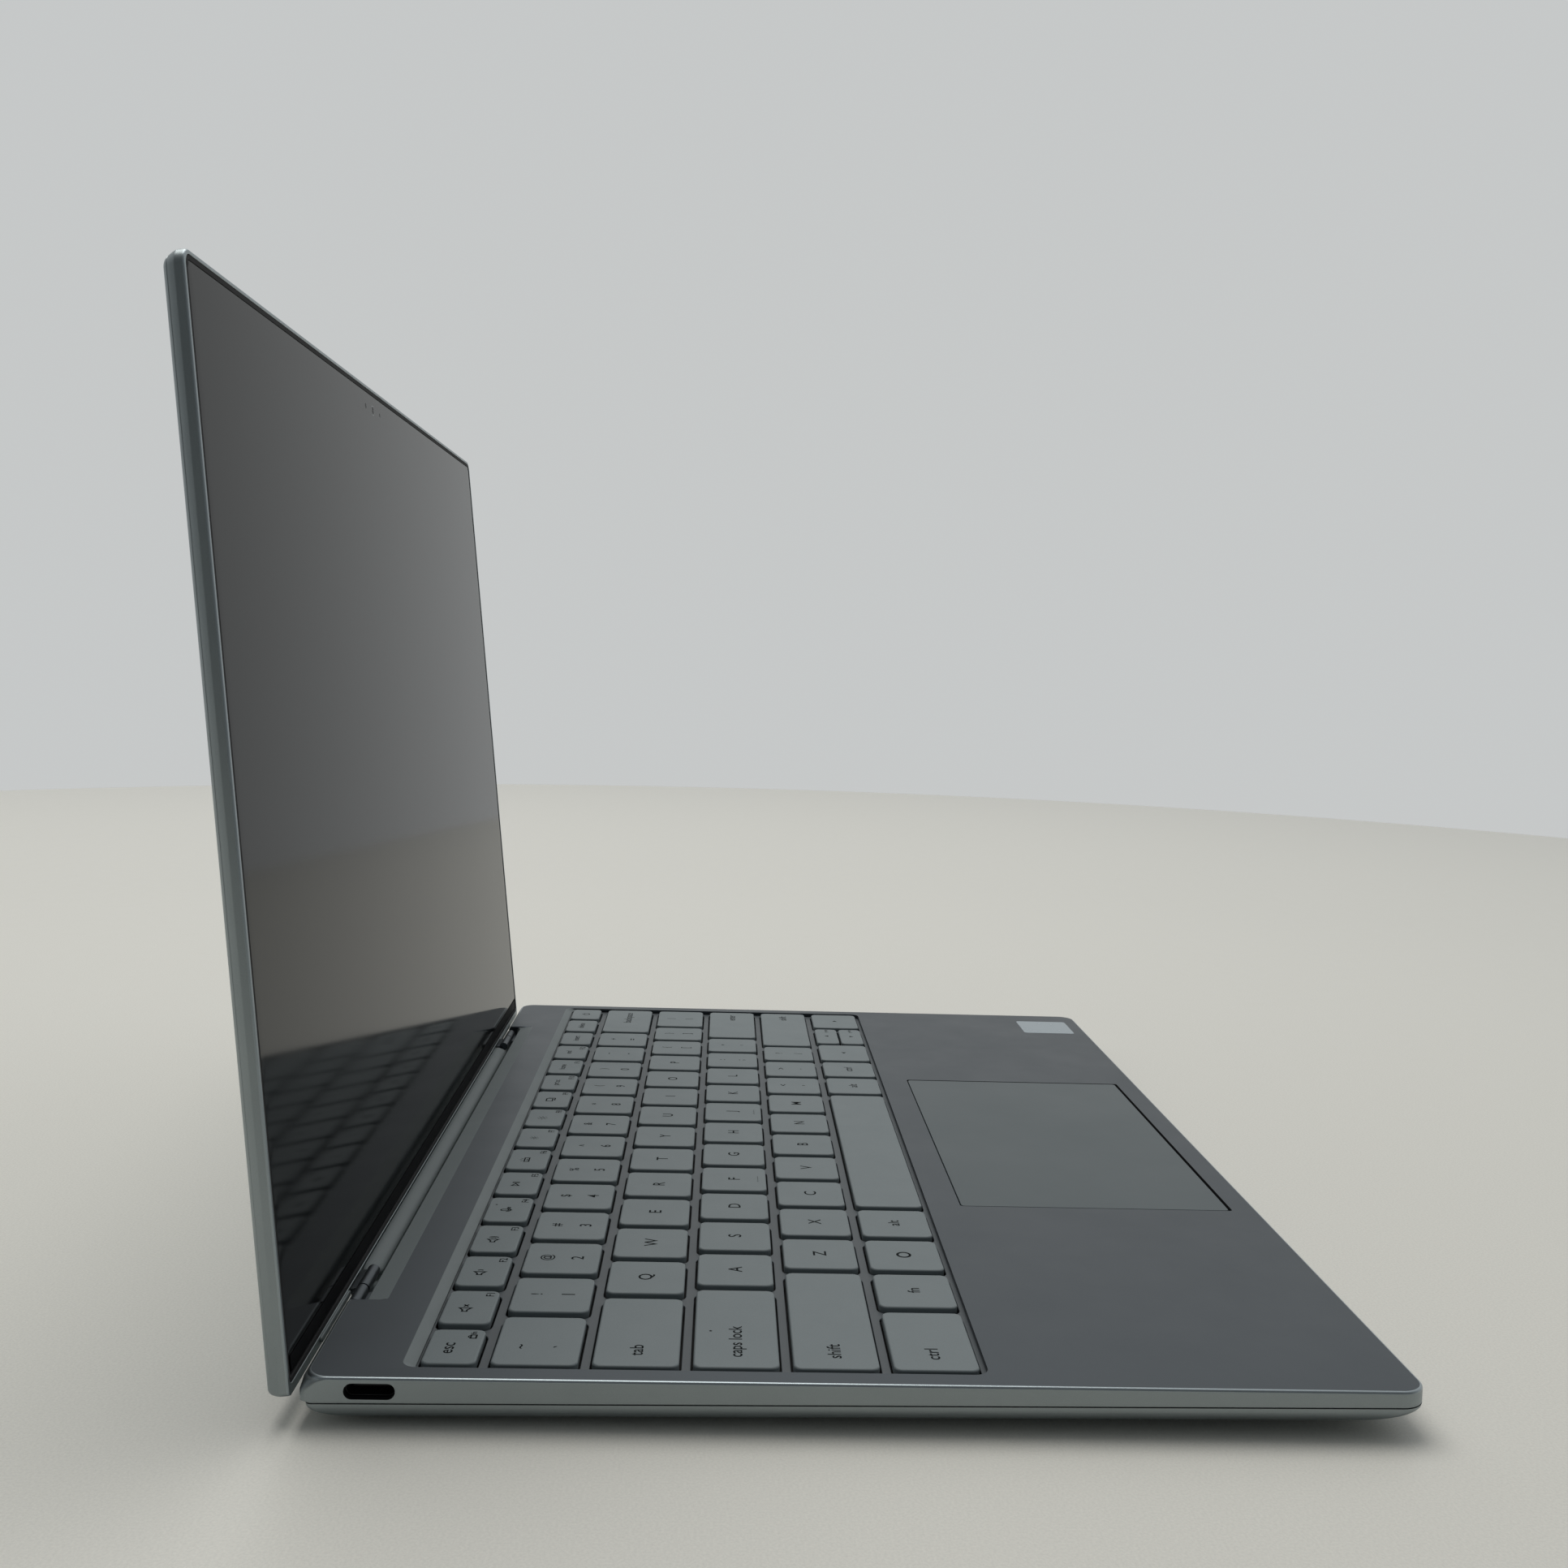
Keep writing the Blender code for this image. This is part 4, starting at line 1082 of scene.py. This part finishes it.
def light(name, where, target, size, power, colour=(1.0, 1.0, 1.0)):
    lamp = bpy.data.lights.new(name, 'AREA')
    lamp.shape = 'DISK'
    lamp.size = size
    lamp.energy = power
    lamp.color = colour
    made = bpy.data.objects.new(name, lamp)
    bpy.context.collection.objects.link(made)
    made.location = where
    made.rotation_euler = (Vector(target) - Vector(where)).to_track_quat('-Z', 'Y').to_euler()


WALL_COLOUR = (0.565, 0.58, 0.58, 1.0)


def lights():
    world = bpy.data.worlds.new("room")
    bpy.context.scene.world = world
    world.use_nodes = True
    tree = world.node_tree
    background = tree.nodes["Background"]
    direction = tree.nodes.new("ShaderNodeTexCoord")
    split = tree.nodes.new("ShaderNodeSeparateXYZ")
    ramp = tree.nodes.new("ShaderNodeValToRGB")
    spread = tree.nodes.new("ShaderNodeMapRange")
    spread.inputs["From Min"].default_value = -1.0
    tree.links.new(direction.outputs["Generated"], split.inputs["Vector"])
    tree.links.new(split.outputs["X"], spread.inputs["Value"])
    tree.links.new(spread.outputs["Result"], ramp.inputs["Fac"])
    ramp.color_ramp.interpolation = 'EASE'
    ramp.color_ramp.elements[0].position = 0.15
    ramp.color_ramp.elements[0].color = (0.10, 0.108, 0.112, 1.0)
    ramp.color_ramp.elements[1].position = 0.80
    ramp.color_ramp.elements[1].color = WALL_COLOUR
    tree.links.new(ramp.outputs["Color"], background.inputs["Color"])
    # Only the backdrop that the camera sees directly is even; the ramp above lights the object
    wall = tree.nodes.new("ShaderNodeBackground")
    wall.inputs["Color"].default_value = WALL_COLOUR
    choose = tree.nodes.new("ShaderNodeMixShader")
    ray = tree.nodes.new("ShaderNodeLightPath")
    tree.links.new(ray.outputs["Is Camera Ray"], choose.inputs["Fac"])
    tree.links.new(background.outputs["Background"], choose.inputs[1])
    tree.links.new(wall.outputs["Background"], choose.inputs[2])
    tree.links.new(choose.outputs["Shader"], tree.nodes["World Output"].inputs["Surface"])
    light("ceiling", (0.5, 0.3, 1.8), (0.0, 0.0, 0.1), 1.6, 15.0, (1.0, 0.98, 0.94))


# The camera's aim, from the photograph's viewing angle
CAMERA_AT = (-419.7, 128.8, 125.9)
AZIMUTH_DEG, PITCH_DEG, ROLL_DEG = -2.10, -1.31, 1.75
LENS = 36.16
SHIFT_Y = -0.0545


def camera():
    azimuth, pitch, roll = (math.radians(angle) for angle in (AZIMUTH_DEG, PITCH_DEG, ROLL_DEG))
    ahead = Vector((math.cos(pitch) * math.cos(azimuth), math.cos(pitch) * math.sin(azimuth),
                    math.sin(pitch)))
    level_right = ahead.cross(Vector((0, 0, 1))).normalized()
    level_up = level_right.cross(ahead)
    right = level_right * math.cos(roll) + level_up * math.sin(roll)
    up = level_up * math.cos(roll) - level_right * math.sin(roll)
    data = bpy.data.cameras.new("view")
    data.lens = LENS
    data.sensor_width = 36.0
    data.shift_y = SHIFT_Y
    data.clip_start = 0.01
    data.clip_end = 20.0
    made = bpy.data.objects.new("view", data)
    bpy.context.collection.objects.link(made)
    turn = Matrix((right, up, -ahead)).transposed().to_4x4()
    made.matrix_world = Matrix.Translation(place(*CAMERA_AT)) @ turn
    bpy.context.scene.camera = made


def main():
    top_case()
    sticker()
    keyboard()
    touchpad()
    bottom_cover()
    screws()
    foot("front_foot", 24.0, 118.0, 3.5)
    foot("rear_foot", 168.0, 118.0, 3.5)
    ports()
    lid()
    hinge_cover()
    hinges()
    inner_parts()
    floor()
    lights()
    camera()
    bpy.context.scene.view_settings.view_transform = 'Standard'


main()
